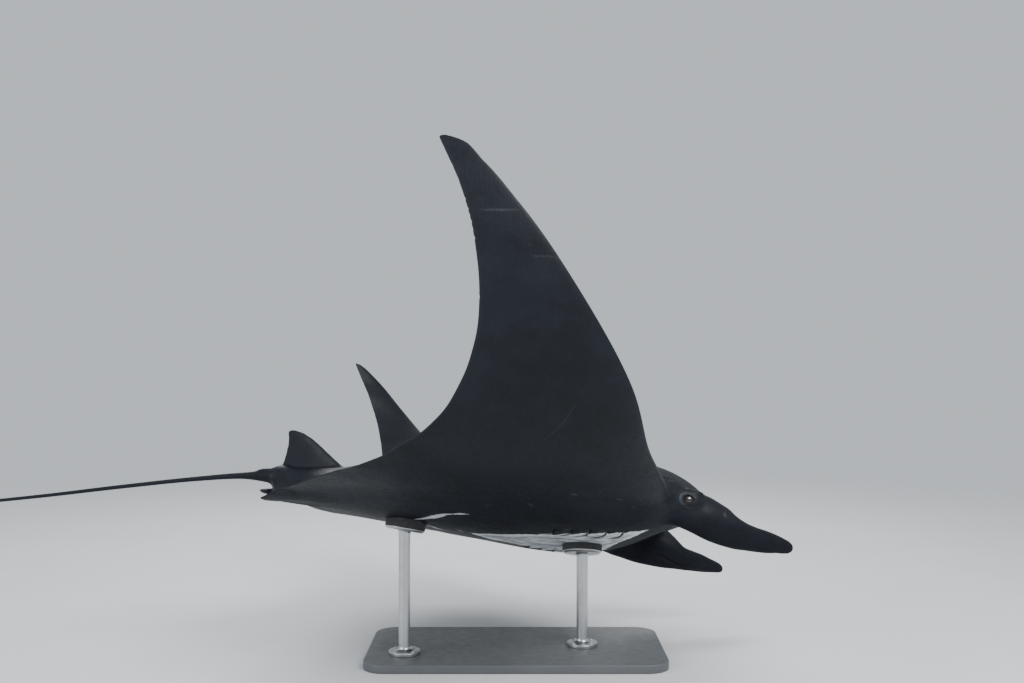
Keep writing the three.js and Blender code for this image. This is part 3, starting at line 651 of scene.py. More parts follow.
pos, quads, cells = surface_nets(F, xs, ys, zs)
print("nets", len(pos), len(quads))
for _ in range(3):
    pos = relax(pos, quads, .55)
    for _ in range(2):
        v, g = sample(F, pos)
        gg = (g ** 2).sum(1)
        stepv = np.clip(v, -4, 4) / np.maximum(gg, .09)
        pos = pos - .9 * stepv[:, None] * g
pos = relax(pos, quads, .25)
pos[:, 0] = sheared(pos[:, 0], pos[:, 1])


def bell(p, c, r):
    return np.exp(-(((p - np.array(c)) / np.array(r)) ** 2).sum(1))


def soften(pos, quads):
    """Even out the skin where the wing's front edge runs into the neck, below the eye and along the furled lobes."""
    q = np.stack([pos[:, 0], np.abs(pos[:, 1]), pos[:, 2]], 1)
    w = np.maximum(np.clip(2.2 * bell(q, (-372, 545, 35), (75, 85, 75)), 0, 1), np.clip(2.0 * bell(q, (-372, 520, -35), (75, 70, 45)), 0, 1))
    w = w * (1 - np.clip(1.6 * bell(q, (-322, 494, 78), (38, 26, 40)), 0, 1))
    w = np.maximum(w, np.clip(1.8 * bell(q, (-200, 500, -84), (42, 60, 30)), 0, 1))
    w = w * (1 - np.clip(1.6 * bell(q, EYE_AT, (44, 40, 38)), 0, 1))
    near = w > .02
    sub = quads[near[quads].any(1)]
    ids, inv = np.unique(sub, return_inverse=True)
    local, lw = pos[ids], w[ids]
    lq = inv.reshape(sub.shape)
    rim_ = ~near[ids]
    for _ in range(int(44 / C)):
        local = local + (lw * .62)[:, None] * (relax(local, lq, 1.0, rim_) - local)
    pos = pos.copy()
    pos[ids] = local
    w = .5 * ramp(-80, -20, pos[:, 0]) * (np.abs(pos[:, 1]) > 385)
    for _ in range(3):
        pos = pos + w[:, None] * (relax(pos, quads, 1.0) - pos)
    return pos


pos = soften(pos, quads)


# keep the biggest connected body
def components(n, quads):
    lab = np.arange(n)
    e = edges_of(quads)
    while True:
        m = np.minimum(lab[e[:, 0]], lab[e[:, 1]])
        new = lab.copy()
        np.minimum.at(new, e[:, 0], m)
        np.minimum.at(new, e[:, 1], m)
        new = new[new]
        if (new == lab).all():
            return lab
        lab = new


lab = components(len(pos), quads)
big = np.bincount(lab).argmax()
keep = lab == big

# ------------------------------------------------------------------ open rims
jl = np.searchsorted(ys, -CUT)
jr = np.searchsorted(ys, CUT)
it = np.searchsorted(xs, TAIL_CUT)
inside = keep & (cells[:, 1] >= jl) & (cells[:, 1] <= jr - 1) & ~((cells[:, 0] < it))
qk = inside[quads].all(1)
quads = quads[qk]
used = np.zeros(len(pos), bool)
used[quads.ravel()] = True
new_id = np.cumsum(used) - 1
pos = pos[used]
cells = cells[used]
quads = new_id[quads]


def loops(quads):
    """Boundary loops as ordered vertex lists, in the direction the faces leave them open."""
    e = edges_of(quads)
    key = e[:, 0].astype(np.int64) * (1 << 32) + e[:, 1]
    rev = e[:, 1].astype(np.int64) * (1 << 32) + e[:, 0]
    free = ~np.isin(key, rev)
    nxt = {}
    for a, b in e[free]:
        nxt.setdefault(int(a), []).append(int(b))
    out = []
    while nxt:
        start = next(iter(nxt))
        loop, v = [], start
        while v in nxt:
            loop.append(v)
            w = nxt[v].pop()
            if not nxt[v]:
                del nxt[v]
            v = w
        out.append(loop)
    return out


rims = sorted(loops(quads), key=len, reverse=True)
print("rims", [(len(r), pos[r].mean(0).round(0).tolist()) for r in rims])
verts = [pos]
faces = [quads]
count = len(pos)


def section(s, side, n=1200):
    """Closed outline of the flat wing near span s as rows (x mm, z mm, span), from the trailing edge over the top."""
    end, width, bulge, fuller = WING_TIP[side]
    q = min(max((s - (end - width)) / width, 0.0), .9995)
    c = 1 - math.sqrt(1 - q ** 3)
    th = np.linspace(0, math.pi, n // 2)
    u = (1 + np.cos(th)) / 2                      # 1 at the rear, 0 at the front
    su = s + bulge * 4 * u * (1 - u) * ramp(end - .020, end, s)
    front, rear = LEADING(su) - fuller * ramp(end - .0171, end + .0019, s), TRAILING(su)
    f2, r2 = front + (rear - front) * .38 * c, rear - (rear - front) * .05 * c
    T, B, _, _ = heights(LEADING(su) + (rear - LEADING(su)) * u, su)
    back = f2 + (r2 - f2) * u
    thin = 1 - .55 * c
    e = EDGE * DW * (1 - .4 * c)
    z1, z0 = (T * DW - EDGE * DW) * thin + e, (B * DW + EDGE * DW) * thin - e
    # rounded edges: the last few millimetres close like a half circle
    d = np.minimum(u, 1 - u) * (r2 - f2) * DW
    rnd = np.sqrt(np.clip(1 - (1 - np.clip(d / e, 0, 1)) ** 2, 0, 1))
    z1, z0 = z1 - e + e * rnd, z0 + e - e * rnd
    x = -back * DW
    return np.stack([np.concatenate([x, x[::-1][1:-1]]), np.concatenate([z1, z0[::-1][1:-1]]), np.concatenate([su, su[::-1][1:-1]])], 1)


def at_param(poly, t):
    c = np.concatenate([poly, poly[:1]])
    d = np.concatenate([[0], np.cumsum(np.linalg.norm(np.diff(c[:, :2], axis=0), axis=1))])
    t = np.mod(t, 1) * d[-1]
    return np.stack([np.interp(t, d, c[:, k]) for k in range(3)], 1)


def param_of(poly, pts):
    c = np.concatenate([poly, poly[:1]])
    d = np.concatenate([[0], np.cumsum(np.linalg.norm(np.diff(c[:, :2], axis=0), axis=1))])
    out = []
    for p in pts:
        k = np.argmin(((poly[:, :2] - p) ** 2).sum(1))
        out.append(d[k] / d[-1])
    return np.array(out)


for rim in rims[:2]:
    side = 1 if pos[rim[0], 1] > 0 else -1
    y0 = pos[rim, 1].mean() * side
    s0 = y0 / DW
    poly = section(s0, side)
    tip_s, tip_w = WING_TIP[side][:2]
    t = param_of(poly, pos[rim][:, [0, 2]])
    # the parameter runs one way round; unwrap it so that the rings can relax to even spacing
    n = len(rim)
    d = np.diff(np.concatenate([t, t[:1]]))
    d = (d + .5) % 1 - .5
    way = 1 if d.sum() > 0 else -1
    d = np.maximum(d * way, 1e-5)
    d = d / d.sum()
    tt = t[0] + way * np.concatenate([[0], np.cumsum(d)[:-1]])
    # even spacing, with more points round the leading edge
    even = tt[0] + way * np.arange(n) / n
    shift = np.mean(tt - even)
    even = even + shift
    fine = np.linspace(s0, tip_s, 4000)
    per = (1 + 1.5 * ramp(.398, .410, fine) * (1 - ramp(.452, .464, fine)) + .5 * ramp(.464, .480, fine) + 5 * ramp(tip_s - .4 * tip_w, tip_s, fine)) / (11.0 * C)
    run = np.concatenate([[0], np.cumsum((per[1:] + per[:-1]) / 2) * (fine[1] - fine[0]) * DW])
    rings = int(run[-1])
    ring_s = np.interp(np.linspace(0, run[-1], rings + 1), run, fine)
    prev = np.array(rim)
    for r in range(1, rings + 1):
        s = ring_s[r]
        k = ramp(0, 26, float(r))
        p = at_param(section(s, side), tt * (1 - k) + even * k)
        verts.append(np.stack([p[:, 0], side * p[:, 2] * DW, p[:, 1]], 1))
        cur = np.arange(count, count + n)
        count += n
        faces.append(np.stack([np.roll(prev, -1), prev, cur, np.roll(cur, -1)], 1))
        prev = cur
    last = verts[-1]
    mid = last.mean(0)
    for r, (out, shrink) in enumerate([(.5, .80), (.8, .45)]):
        p = last.copy()
        p[:, 1] = last[:, 1] + side * out
        p[:, 2] = mid[2] + (p[:, 2] - mid[2]) * shrink
        p[:, 0] = mid[0] + (p[:, 0] - mid[0]) * (1 - .12 * (r + 1))
        verts.append(p)
        cur = np.arange(count, count + n)
        count += n
        faces.append(np.stack([np.roll(prev, -1), prev, cur, np.roll(cur, -1)], 1))
        prev = cur
    # close the narrow end by joining across: pair vertices by their place along the chord
    p = verts[-1]
    a = int(np.argmax(p[:, 0]))
    order = [(a + q) % n for q in range(n)]
    lo_, hi_ = 1, n - 1
    strip = []
    while hi_ - lo_ >= 1:
        v0, v1 = order[lo_ - 1], order[lo_]
        w0, w1 = order[(hi_ + 1) % n], order[hi_]
        strip.append([prev[v0], prev[v1], prev[w1], prev[w0]])
        lo_ += 1
        hi_ -= 1
    strip = np.array(strip)
    strip = strip[:, ::-1] if True else strip
    faces.append(strip)

if len(rims) > 2:
    rim = rims[2]
    p = pos[rim]
    back0 = -p[:, 0].mean() / DW
    up0 = TAIL_UP(back0) * DW
    ang = np.unwrap(np.arctan2(p[:, 1], p[:, 2] - up0))
    n = len(rim)
    way = 1 if ang[-1] > ang[0] else -1
    even = ang.mean() + way * (np.arange(n) - (n - 1) / 2) * 2 * math.pi / n
    tip = .9445
    rings = int((tip - back0) * DW / (12.0 * C))
    rb = np.linspace(back0, tip, rings + 1)
    prev = np.array(rim)
    for r in range(1, rings + 1):
        b = rb[r]
        k = ramp(0, 12, float(r))
        a = ang * (1 - k) + even * k
        rad = float(TAIL_RADIUS(b)) * DW
        if r > rings - 3:
            rad *= [.93, .74, .36][r - (rings - 2)]
        dd = .002
        sl = math.atan2(float(TAIL_UP(b + dd) - TAIL_UP(b - dd)), 2 * dd)
        up = rad * 1.06 * np.cos(a)
        q = np.stack([-(b * DW - up * math.sin(sl)), rad * np.sin(a), float(TAIL_UP(b)) * DW + up * math.cos(sl)], 1)
        verts.append(q)
        cur = np.arange(count, count + n)
        count += n
        faces.append(np.stack([np.roll(prev, -1), prev, cur, np.roll(cur, -1)], 1))
        prev = cur
    verts.append(verts[-1].mean(0)[None] + np.array([[-.6, 0, 0]]))
    centre_id = count
    count += 1
    cap = np.stack([np.roll(prev, -1), prev, np.full(n, centre_id), np.full(n, centre_id)], 1)
    tri_cap = cap[:, :3]
else:
    tri_cap = np.zeros((0, 3), int)

flat = np.concatenate(verts)
quads = np.concatenate(faces)

# ------------------------------------------------------------------ small relief
NICKS = {-1: [(.4135, 3.6, 5.5), (.4205, 1.8, 4.5), (.4262, 3.0, 5.0), (.4310, 2.0, 4.0), (.4362, 2.8, 4.5), (.4440, 2.6, 5.5), (.4590, 1.6, 5.0), (.4705, 1.4, 6.0), (.3660, 1.8, 7.0)],
         1: [(.3870, 2.4, 7.0), (.4330, 3.4, 6.0), (.4590, 2.2, 5.0), (.4740, 1.6, 5.0)]}


# folds: span, where each starts and ends behind the jaw, bow, depth and half width in mm
FOLDS = [(.120, .128, .262, .006, 3.0, 8.0), (.1385, .150, .315, .009, 3.6, 10.0), (.1600, .135, .248, .007, 2.6, 9.0),
         (.1770, .205, .330, .004, 2.2, 11.0), (.1030, .170, .240, .004, 1.8, 7.0), (.1960, .165, .225, .004, 1.6, 9.0)]


def relief(p):
    """Slow ripples along the rear edges, small nicks in them, and folds where the raised wings meet the back."""
    x, y, z = p.T.copy()
    s, side, back = np.abs(y) / DW, np.where(y < 0, -1, 1), -x / DW
    T, B, _, _ = heights(np.clip(back, 0, .46), np.minimum(s, .4999))
    e = (TRAILING(np.minimum(s, .5)) - back) * DW
    on_wing = (back < .4556) & (back > NECK)
    w = np.exp(-np.maximum(e, 0) / 150.0) * ramp(.10, .17, s) * (1 - ramp(.465, .49, s)) * on_wing
    ph = np.where(side < 0, 0.6, 2.4)
    dz = w * (3.6 * np.sin(2 * math.pi * 10.7 * s + ph) + 2.0 * np.sin(2 * math.pi * 25.0 * s + 2.1 * ph))
    # folds along the roots of the wings, on the upper side only
    upper = ramp(-.2, .5, (z / DW - (T + B) / 2) / np.maximum(T - B, 1e-4) * 2)
    for s0, b0, b1, bow, depth_mm, width_mm in FOLDS:
        t = np.clip((back - b0) / (b1 - b0), 0, 1)
        line = s0 + bow * np.sin(math.pi * t) + .0022 * np.sin(back * 61 + 9 * s0 * 100 + ph) + .0012 * np.sin(back * 137 + ph * 3)
        d = (s - line) * DW
        shape_ = np.exp(-(d / width_mm) ** 2) - .55 * np.exp(-((np.abs(d) - 2.1 * width_mm) / (1.1 * width_mm)) ** 2)
        dz = dz - upper * on_wing * depth_mm * shape_ * np.sin(math.pi * t) ** .8
    # shallow furrow each side of the backbone
    dz = dz - upper * 2.4 * np.exp(-((s - .021) / .0065) ** 2) * ramp(.12, .19, back) * (1 - ramp(.31, .37, back)) * on_wing
    # the crown carries its full height out to the sides, over the eyes
    side_fall = np.where(s < .079, np.exp(-((s - .079) / .042) ** 2), np.exp(-((s - .079) / .0105) ** 2))
    high = ramp(.10, .60, (z / DW - (T + B) / 2) / np.maximum(T - B, 1e-4) * 2)
    dz = dz + 20.0 * high * side_fall * ramp(.006, .044, back) * (1 - ramp(.058, .112, back))
    z = z + dz
    # the right rear corner hangs slightly
    z = z - np.where(side < 0, 17.0 * ramp(.395, .452, back) * ramp(.008, .035, s) * (1 - ramp(.065, .125, s)), 0)
    # a fuller underside between the pelvic fins
    z = z - 15.0 * ramp(.37, .43, back) * (1 - ramp(.462, .48, back)) * (1 - ramp(.018, .045, s)) * (1 - ramp(-15, 25, z))
    # the left wing's rear edge swings back a little more
    front = np.maximum(NECK, LEADING(np.minimum(s, .5)))
    u = np.clip((back - front) / (TRAILING(np.minimum(s, .5)) - front), 0, 1)
    x = x - np.where(side > 0, 19.0 * (1 - ramp(.355, .425, s)) * ramp(.15, .30, s) * u ** 2, 0)
    for sd, rows in NICKS.items():
        for s0, depth, wide in rows:
            g = np.exp(-((s - s0) * DW / wide) ** 2) * np.clip(1 - e / 34.0, 0, 1) ** 1.4
            x = x + (side == sd) * on_wing * depth * g
    return np.stack([x, y, z], 1)


shape = relief(flat)


def make_mesh(name, co, quads, tris=None):
    mesh = bpy.data.meshes.new(name)
    tris = np.zeros((0, 3), int) if tris is None else tris
    # quads with a repeated corner become triangles
    bad = (quads[:, 0] == quads[:, 1]) | (quads[:, 1] == quads[:, 2]) | (quads[:, 2] == quads[:, 3]) | (quads[:, 3] == quads[:, 0])
    quads = quads[~bad]
    nq, nt = len(quads), len(tris)
    mesh.vertices.add(len(co))
    mesh.vertices.foreach_set("co", np.ascontiguousarray(co, np.float32).ravel())
    mesh.loops.add(nq * 4 + nt * 3)
    mesh.loops.foreach_set("vertex_index", np.concatenate([quads.ravel(), tris.ravel()]).astype(np.int32))
    mesh.polygons.add(nq + nt)
    mesh.polygons.foreach_set("loop_start", np.concatenate([np.arange(nq) * 4, nq * 4 + np.arange(nt) * 3]).astype(np.int32))
    mesh.polygons.foreach_set("loop_total", np.concatenate([np.full(nq, 4), np.full(nt, 3)]).astype(np.int32))
    mesh.update(calc_edges=True)
    mesh.validate()
    mesh.polygons.foreach_set("use_smooth", np.ones(len(mesh.polygons), bool))
    mesh.update()
    obj = bpy.data.objects.new(name, mesh)
    bpy.context.scene.collection.objects.link(obj)
    return obj


skin = make_mesh("skin", posed(shape), quads, tri_cap)


def give(obj, name, values, kind="FLOAT_VECTOR"):
    a = obj.data.attributes.new(name, kind, "POINT")
    a.data.foreach_set("vector" if kind == "FLOAT_VECTOR" else "value", np.ascontiguousarray(values, np.float32).ravel())


# ------------------------------------------------------------------ pale marks
BLAZE = [(.079, -.083), (.100, -.0835), (.117, -.0800), (.132, -.0745), (.145, -.066), (.160, -.055), (.175, -.044), (.190, -.033),
         (.205, -.022), (.220, -.012), (.235, -.002), (.246, .004), (.235, .016), (.225, .026), (.213, .036), (.200, .038),
         (.180, .050), (.160, .062), (.145, .067), (.130, .0745), (.112, .0805), (.095, .083), (.079, .082), (.083, .070),
         (.087, .045), (.090, .015), (.091, -.030), (.088, -.060), (.083, -.075)]
# painted shade: dark lines inside the blaze, along the gill-flap edges and the midline, as plan points with a half
# width in mm
DARK_LINES = [([(.093, -.080), (.108, -.074), (.126, -.065), (.138, -.059), (.152, -.047)], 3.2),
              ([(.094, -.045), (.099, -.016), (.109, -.004), (.116, -.002)], 8.0),
              ([(.126, -.020), (.140, -.027), (.156, -.030), (.171, -.024)], 5.0),
              ([(.093, .080), (.109, .073), (.127, .063), (.140, .056)], 3.4),
              ([(.097, .047), (.108, .030), (.124, .022), (.138, .026)], 6.0),
              ([(.238, .016), (.232, .021), (.226, .026), (.220, .030)], 6.5),
              ([(.196, -.006), (.207, -.001), (.218, .004)], 4.0)]
# pale strokes: plan points, half width in mm along the stroke, how faint
STREAKS = [([(.311, -.017), (.304, -.026), (.295, -.039), (.290, -.047), (.284, -.057), (.276, -.063), (.269, -.068), (.262, -.070)],
            [(0, 1), (.15, 8), (.30, 14), (.37, 18), (.49, 21), (.58, 18), (.65, 10), (.72, 6), (.78, 4.5), (.85, 9), (.90, 12), (.95, 7), (1, 0)], 0),
           ([(.307, -.009), (.3035, -.0075), (.2945, -.002), (.2855, .003), (.281, .012), (.274, .0255), (.267, .0285)],
            [(0, 2), (.2, 8), (.5, 15), (.75, 14), (.9, 8), (1, 2)], 2.5),
           ([(.264, -.009), (.258, -.001), (.251, .013)], [(0, 0), (.5, 4.4), (1, 0)], 1.6),
           ([(.243, .006), (.230, .018), (.213, .035), (.222, .050)], [(0, 0), (.5, 4.5), (1, 0)], .8)]
SMUDGES = [(.177, -.154, 17, 9, .3), (.155, -.166, 10, 6, .22), (.130, -.146, 22, 7, .28), (.108, -.143, 9, 6, .25), (.212, -.121, 26, 6, .2),
           (.165, .149, 20, 8, .25), (.196, .138, 12, 7, .2), (.120, .152, 14, 7, .2), (.250, -.105, 14, 8, .14), (.285, .098, 18, 8, .15),
           (.079, -.1270, 42, 13, .085), (.089, -.1275, 12, 9, .07), (.127, -.1585, 9, 16, .10), (.110, -.128, 14, 8, .09), (.168, -.158, 34, 8, .10), (.134, -.118, 12, 6, .08)]
SCRATCHES = [([(.3135, -.4366), (.2978, -.4391), (.2818, -.4422)], .8, .20), ([(.2704, -.4068), (.2561, -.4095), (.2455, -.409)], .8, .13),
             ([(.232, -.236), (.219, -.262), (.211, -.290)], .8, .10), ([(.262, .318), (.249, .345), (.241, .371)], 1.0, .25),
             ([(.205, .196), (.214, .224), (.219, .251)], 1.0, .25)]


def polyline_distance(b, s, pts):
    """Distance in mm to a polyline in plan, and the place along it 0..1."""
    pts = np.array(pts, float)
    seg = np.linalg.norm(np.diff(pts, axis=0), axis=1)
    at = np.concatenate([[0], np.cumsum(seg)]) / seg.sum()
    best, place = np.full(len(b), 1e9), np.zeros(len(b))
    for k in range(len(pts) - 1):
        d = pts[k + 1] - pts[k]
        t = np.clip(((b - pts[k, 0]) * d[0] + (s - pts[k, 1]) * d[1]) / (d @ d), 0, 1)
        q = np.hypot(b - pts[k, 0] - t * d[0], s - pts[k, 1] - t * d[1]) * DW
        m = q < best
        best = np.where(m, q, best)
        place = np.where(m, at[k] + t * (at[k + 1] - at[k]), place)
    return best, place


def polygon_distance(b, s, pts):
    d, _ = polyline_distance(b, s, pts + pts[:1])
    inside_ = np.zeros(len(b), bool)
    n = len(pts)
    for k in range(n):
        (b0, s0_), (b1, s1_) = pts[k], pts[(k + 1) % n]
        cross = ((s0_ > s) != (s1_ > s)) & (b < (b1 - b0) * (s - s0_) / (s1_ - s0_ + 1e-12) + b0)
        inside_ ^= cross
    return np.where(inside_, -d, d)


fb, fs, fz = -flat[:, 0] / DW, flat[:, 1] / DW, flat[:, 2] / DW
_T, _B, _, _ = heights(np.clip(fb, 0, .4555), np.minimum(np.abs(fs), .4999))
belly = fz < (_T + _B) / 2
mark = np.full((len(flat), 3), 60.0)
# shade holds x pale spots, scratches and eye arcs, y painted shade in the gill slits and the mouth, z paler wear along
# the free edges
shade = np.zeros((len(flat), 3))
near = belly & (fb > .06) & (fb < .34) & (np.abs(fs) < .12)
b_, s_ = fb[near], fs[near]
blaze_d = np.clip(polygon_distance(b_, s_, BLAZE), -90, 60)
dark_d = np.full(len(b_), 60.0)
for pts, half in DARK_LINES:
    d, t = polyline_distance(b_, s_, pts)
    dark_d = np.minimum(dark_d, d - half * (.35 + .65 * np.sin(math.pi * np.clip(t, .04, .96))))
pale_d = np.full(len(b_), 60.0)
for pts, width, faint in STREAKS:
    d, t = polyline_distance(b_, s_, pts)
    pale_d = np.minimum(pale_d, d - np.interp(t, [w[0] for w in width], [w[1] for w in width]) + faint)
mark[near] = np.stack([blaze_d, dark_d, pale_d], 1)
near = belly & (np.abs(fs) > .09) & (np.abs(fs) < .47)
b_, s_ = fb[near], fs[near]
sm = np.zeros(len(b_))
for b0, s0_, l1, l2, power in SMUDGES:
    a_ = math.radians(35) * (1 if s0_ > 0 else -1)
    p1 = ((b_ - b0) * math.cos(a_) + (s_ - s0_) * math.sin(a_)) * DW / l1
    p2 = (-(b_ - b0) * math.sin(a_) + (s_ - s0_) * math.cos(a_)) * DW / l2
    sm = np.maximum(sm, power * np.exp(-(p1 ** 2 + p2 ** 2)))
for pts, half, power in SCRATCHES:
    d, t = polyline_distance(b_, s_, pts)
    sm = np.maximum(sm, power * np.exp(-(d / (half + 2.2)) ** 2) * np.sin(math.pi * t) ** .5)
shade[near, 0] = sm
# eye surround: a paler arc behind each eye
ex, ey, ez = EYE_AT
u_ = (flat[:, 0] - ex) * math.cos(math.radians(14)) + (np.abs(flat[:, 1]) - ey) * math.sin(math.radians(14))
w_ = flat[:, 2] - ez
near = (np.abs(flat[:, 1]) > 420) & (np.abs(u_) < 120) & (np.abs(w_) < 90)
r_ = np.sqrt((u_ / 40.0) ** 2 + (w_ / 30.0) ** 2)
shade[:, 0] = np.maximum(shade[:, 0], near * .24 * np.exp(-((r_ - 1.12) / .13) ** 2) * ramp(.2, .9, -u_ / 40.0 - .1 * w_ / 30.0))
# one small pale spot on the outer side of the right lobe
shade[:, 0] = np.maximum(shade[:, 0], (fs < -.088) * .20 * np.exp(-((fb - .0041) / .0015) ** 2 - ((fz + .0114 - .3 * (fb - .0041)) / .0028) ** 2))
# painted shade: dark inside the gill slits and the mouth, where shade falls in the recesses
gd_, gp_ = gill_field(np.clip(fb, 0, .4), np.abs(fs))
shade[:, 1] = np.maximum(shade[:, 1], (belly & (np.abs(fs) < .11) & (fb > .08) & (fb < .2) & (gp_ > .02)) * np.clip(1.5 - np.abs(gd_ - 1.0) / 3.6, 0, 1) * np.sqrt(np.clip(gp_, 0, 1)))
mouth_painted_shade = ramp(-10, -30, flat[:, 0]) * (np.abs(flat[:, 1]) < 345) * (np.abs(flat[:, 2] - MOUTH_UP + 4) < 17) * (flat[:, 0] > -130)
shade[:, 1] = np.maximum(shade[:, 1], mouth_painted_shade)
# wear along the free edges: a little paler
edge_ = np.minimum(np.where(np.abs(fs) > .12, (TRAILING(np.minimum(np.abs(fs), .5)) - fb) * DW, 1e3), 1e3)
shade[:, 2] = np.exp(-np.clip(edge_, 0, 400) / 7.0) * (np.abs(fs) > .12)

give(skin, "flat", flat / 1000.0)
give(skin, "mark", mark)
give(skin, "chin", np.stack([ramp(.003, .026, (_T + _B) / 2 - fz) * (1 - ramp(.090, .160, fb)), fz * 0, fz * 0], 1))
give(skin, "shade", shade)
print("skin", len(skin.data.vertices), len(skin.data.polygons))
FLESH = [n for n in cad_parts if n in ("head", "trunk", "dorsal_fin") or n.split("_")[0] in ("wing", "cephalic", "pelvic", "tail")]
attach(skin, "root")
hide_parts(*FLESH)


# ------------------------------------------------------------------ eyes
def eyeball(side):
    n, m = ((72, 44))
    th = np.linspace(0, math.pi, m + 1)[1:-1]
    ph = np.arange(n) * 2 * math.pi / n
    T_, P_ = np.meshgrid(th, ph, indexing="ij")
    unit = np.stack([np.sin(T_) * np.cos(P_), np.cos(T_), np.sin(T_) * np.sin(P_)], -1).reshape(-1, 3)
    unit = np.concatenate([unit, [[0, 1, 0]], [[0, -1, 0]]])
    r = np.array([29.4, 18.0, 27.0])
    loc = unit * r
    loc[:, 1] += .9 * np.exp(-((unit[:, 0] ** 2 + unit[:, 2] ** 2) / .22)) * (unit[:, 1] > 0)
    c, s = math.cos(math.radians(14)), math.sin(math.radians(14))
    x = EYE_AT[0] + loc[:, 0] * c - loc[:, 1] * s
    yy = EYE_AT[1] + loc[:, 0] * s + loc[:, 1] * c
    co = posed(np.stack([x, yy * side, EYE_AT[2] + loc[:, 2]], 1))
    idx = np.arange((m - 1) * n).reshape(m - 1, n)
    a, b = idx[:-1], idx[1:]
    q = np.stack([a, np.roll(a, -1, 1), np.roll(b, -1, 1), b], -1).reshape(-1, 4)
    top, bot = (m - 1) * n, (m - 1) * n + 1
    t1 = np.stack([np.full(n, top), np.roll(idx[0], -1), idx[0]], 1)
    t2 = np.stack([np.full(n, bot), idx[-1], np.roll(idx[-1], -1)], 1)
    tri = np.concatenate([t1, t2])
    # faces outwards
    mid = co.mean(0)
    p = co[q[0]]
    if np.dot(np.cross(p[1] - p[0], p[2] - p[0]), p.mean(0) - mid) < 0:
        q, tri = q[:, ::-1], tri[:, ::-1]
    o = make_mesh("eyeball_left" if side > 0 else "eyeball_right", co, q, tri)
    give(o, "ball", unit)
    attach(o, "root")
    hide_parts("eye_left" if side > 0 else "eye_right")
    return o


EYES = [eyeball(1), eyeball(-1)]


# ------------------------------------------------------------------ display stand
def rings_mesh(name, rings_, close=(True, True)):
    """Closed tube from a list of rings (each n points, metres), capped with a fan at both ends."""
    n = len(rings_[0])
    co = np.concatenate(rings_)
    idx = np.arange(len(rings_) * n).reshape(-1, n)
    a, b = idx[:-1], idx[1:]
    q = np.stack([a, np.roll(a, -1, 1), np.roll(b, -1, 1), b], -1).reshape(-1, 4)
    tri = []
    if close[0]:
        co = np.concatenate([co, rings_[0].mean(0)[None]])
        k = len(co) - 1
        tri += [[k, idx[0][(i + 1) % n], idx[0][i]] for i in range(n)]
    if close[1]:
        co = np.concatenate([co, rings_[-1].mean(0)[None]])
        k = len(co) - 1
        tri += [[k, idx[-1][i], idx[-1][(i + 1) % n]] for i in range(n)]
    return co, q, np.array(tri, int).reshape(-1, 3)


def outwards(co, q, tri):
    """Turn all faces if the closed shape has negative volume."""
    c = co.mean(0)
    v = 0.0
    for f in (q, tri):
        if len(f):
            p = co[f] - c
            v += np.einsum("ij,ij->i", p[:, 0], np.cross(p[:, 1], p[:, 2])).sum()
            if f.shape[1] == 4:
                v += np.einsum("ij,ij->i", p[:, 0], np.cross(p[:, 2], p[:, 3])).sum()
    if v < 0:
        q, tri = q[:, ::-1], tri[:, ::-1]
    return co, q, tri


def merged(parts):
    co, q, tri, k = [], [], [], 0
    for c, a, b in parts:
        co.append(c)
        q.append(a + k)
        tri.append(b + k)
        k += len(c)
    return np.concatenate(co), np.concatenate(q), np.concatenate(tri)


def piece(name, data, nodes):
    o = make_mesh(name, *data)
    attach(o, "root")
    if nodes:
        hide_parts(*nodes)
    return o


def crease_flat(obj, degrees=40):
    """Smooth shading that breaks at corners."""
    mesh = obj.data
    mesh.set_sharp_from_angle(angle=math.radians(degrees))


def arc(cx, cz, r, a0, a1, n):
    t = np.radians(np.linspace(a0, a1, n))
    return [(cx + r * math.cos(a), cz + r * math.sin(a)) for a in t]


BASE_L, BASE_W, BASE_H, BASE_R, BEVEL = 1560.0, 800.0, 45.0, 120.0, 6.0


def base_plate():
    def outline_(inset, z):
        r = BASE_R - inset
        pts = []
        for cx, cy, a0 in ((1, 1, 0), (-1, 1, 90), (-1, -1, 180), (1, -1, 270)):
            x0, y0 = cx * (BASE_L / 2 - BASE_R), cy * (BASE_W / 2 - BASE_R)
            for k in range(25):
                a = math.radians(a0 + 90 * k / 24)
                pts.append((x0 + r * math.cos(a), y0 + r * math.sin(a), z))
        return np.array(pts) / 1000.0
    prof = [(d, z) for d, z in [(14, 0)]]
    prof += [(BEVEL - BEVEL * math.cos(math.radians(a)), BEVEL - BEVEL * math.sin(math.radians(a))) for a in (90, 72, 54, 36, 18, 0)]
    prof += [(0, BASE_H / 2)]
    prof += [(BEVEL - BEVEL * math.cos(math.radians(a)), BASE_H - BEVEL + BEVEL * math.sin(math.radians(a))) for a in (0, 18, 36, 54, 72, 90)]
    prof += [(7.5, BASE_H), (14, BASE_H)]
    return outwards(*rings_mesh("base", [outline_(d, z) for d, z in prof]))


def bump_of(back):
    return -float(BELLY_DEPTH(back)) - EDGE


def stand_frame(back):
    """Contact point (mm) and unit axes of a saddle at this distance behind the jaw."""
    def at(b, s):
        return (curl(np.array([[b, s, bump_of(b) if s == 0 else bump_of(back)]])) @ TURN.T + JAW)[0]
    p, fore, aft, side = at(back, 0), at(back - .02, 0), at(back + .02, 0), at(back, .02)
    n = np.cross(fore - aft, side - p)
    n /= np.linalg.norm(n)
    if n[2] < 0:
        n = -n
    e1 = np.cross([0, 1, 0], n)
    e1 /= np.linalg.norm(e1)
    return p, n, e1, np.cross(n, e1)


skin_world = posed(shape) * 1000.0


def skin_tree(at, reach=190.0):
    m = np.linalg.norm(skin_world - at, axis=1) < reach
    q = quads[m[quads].all(1)]
    ids = np.unique(q)
    back_ = np.full(len(skin_world), -1)
    back_[ids] = np.arange(len(ids))
    return BVHTree.FromPolygons([tuple(v) for v in skin_world[ids]], [tuple(f) for f in back_[q].tolist()])


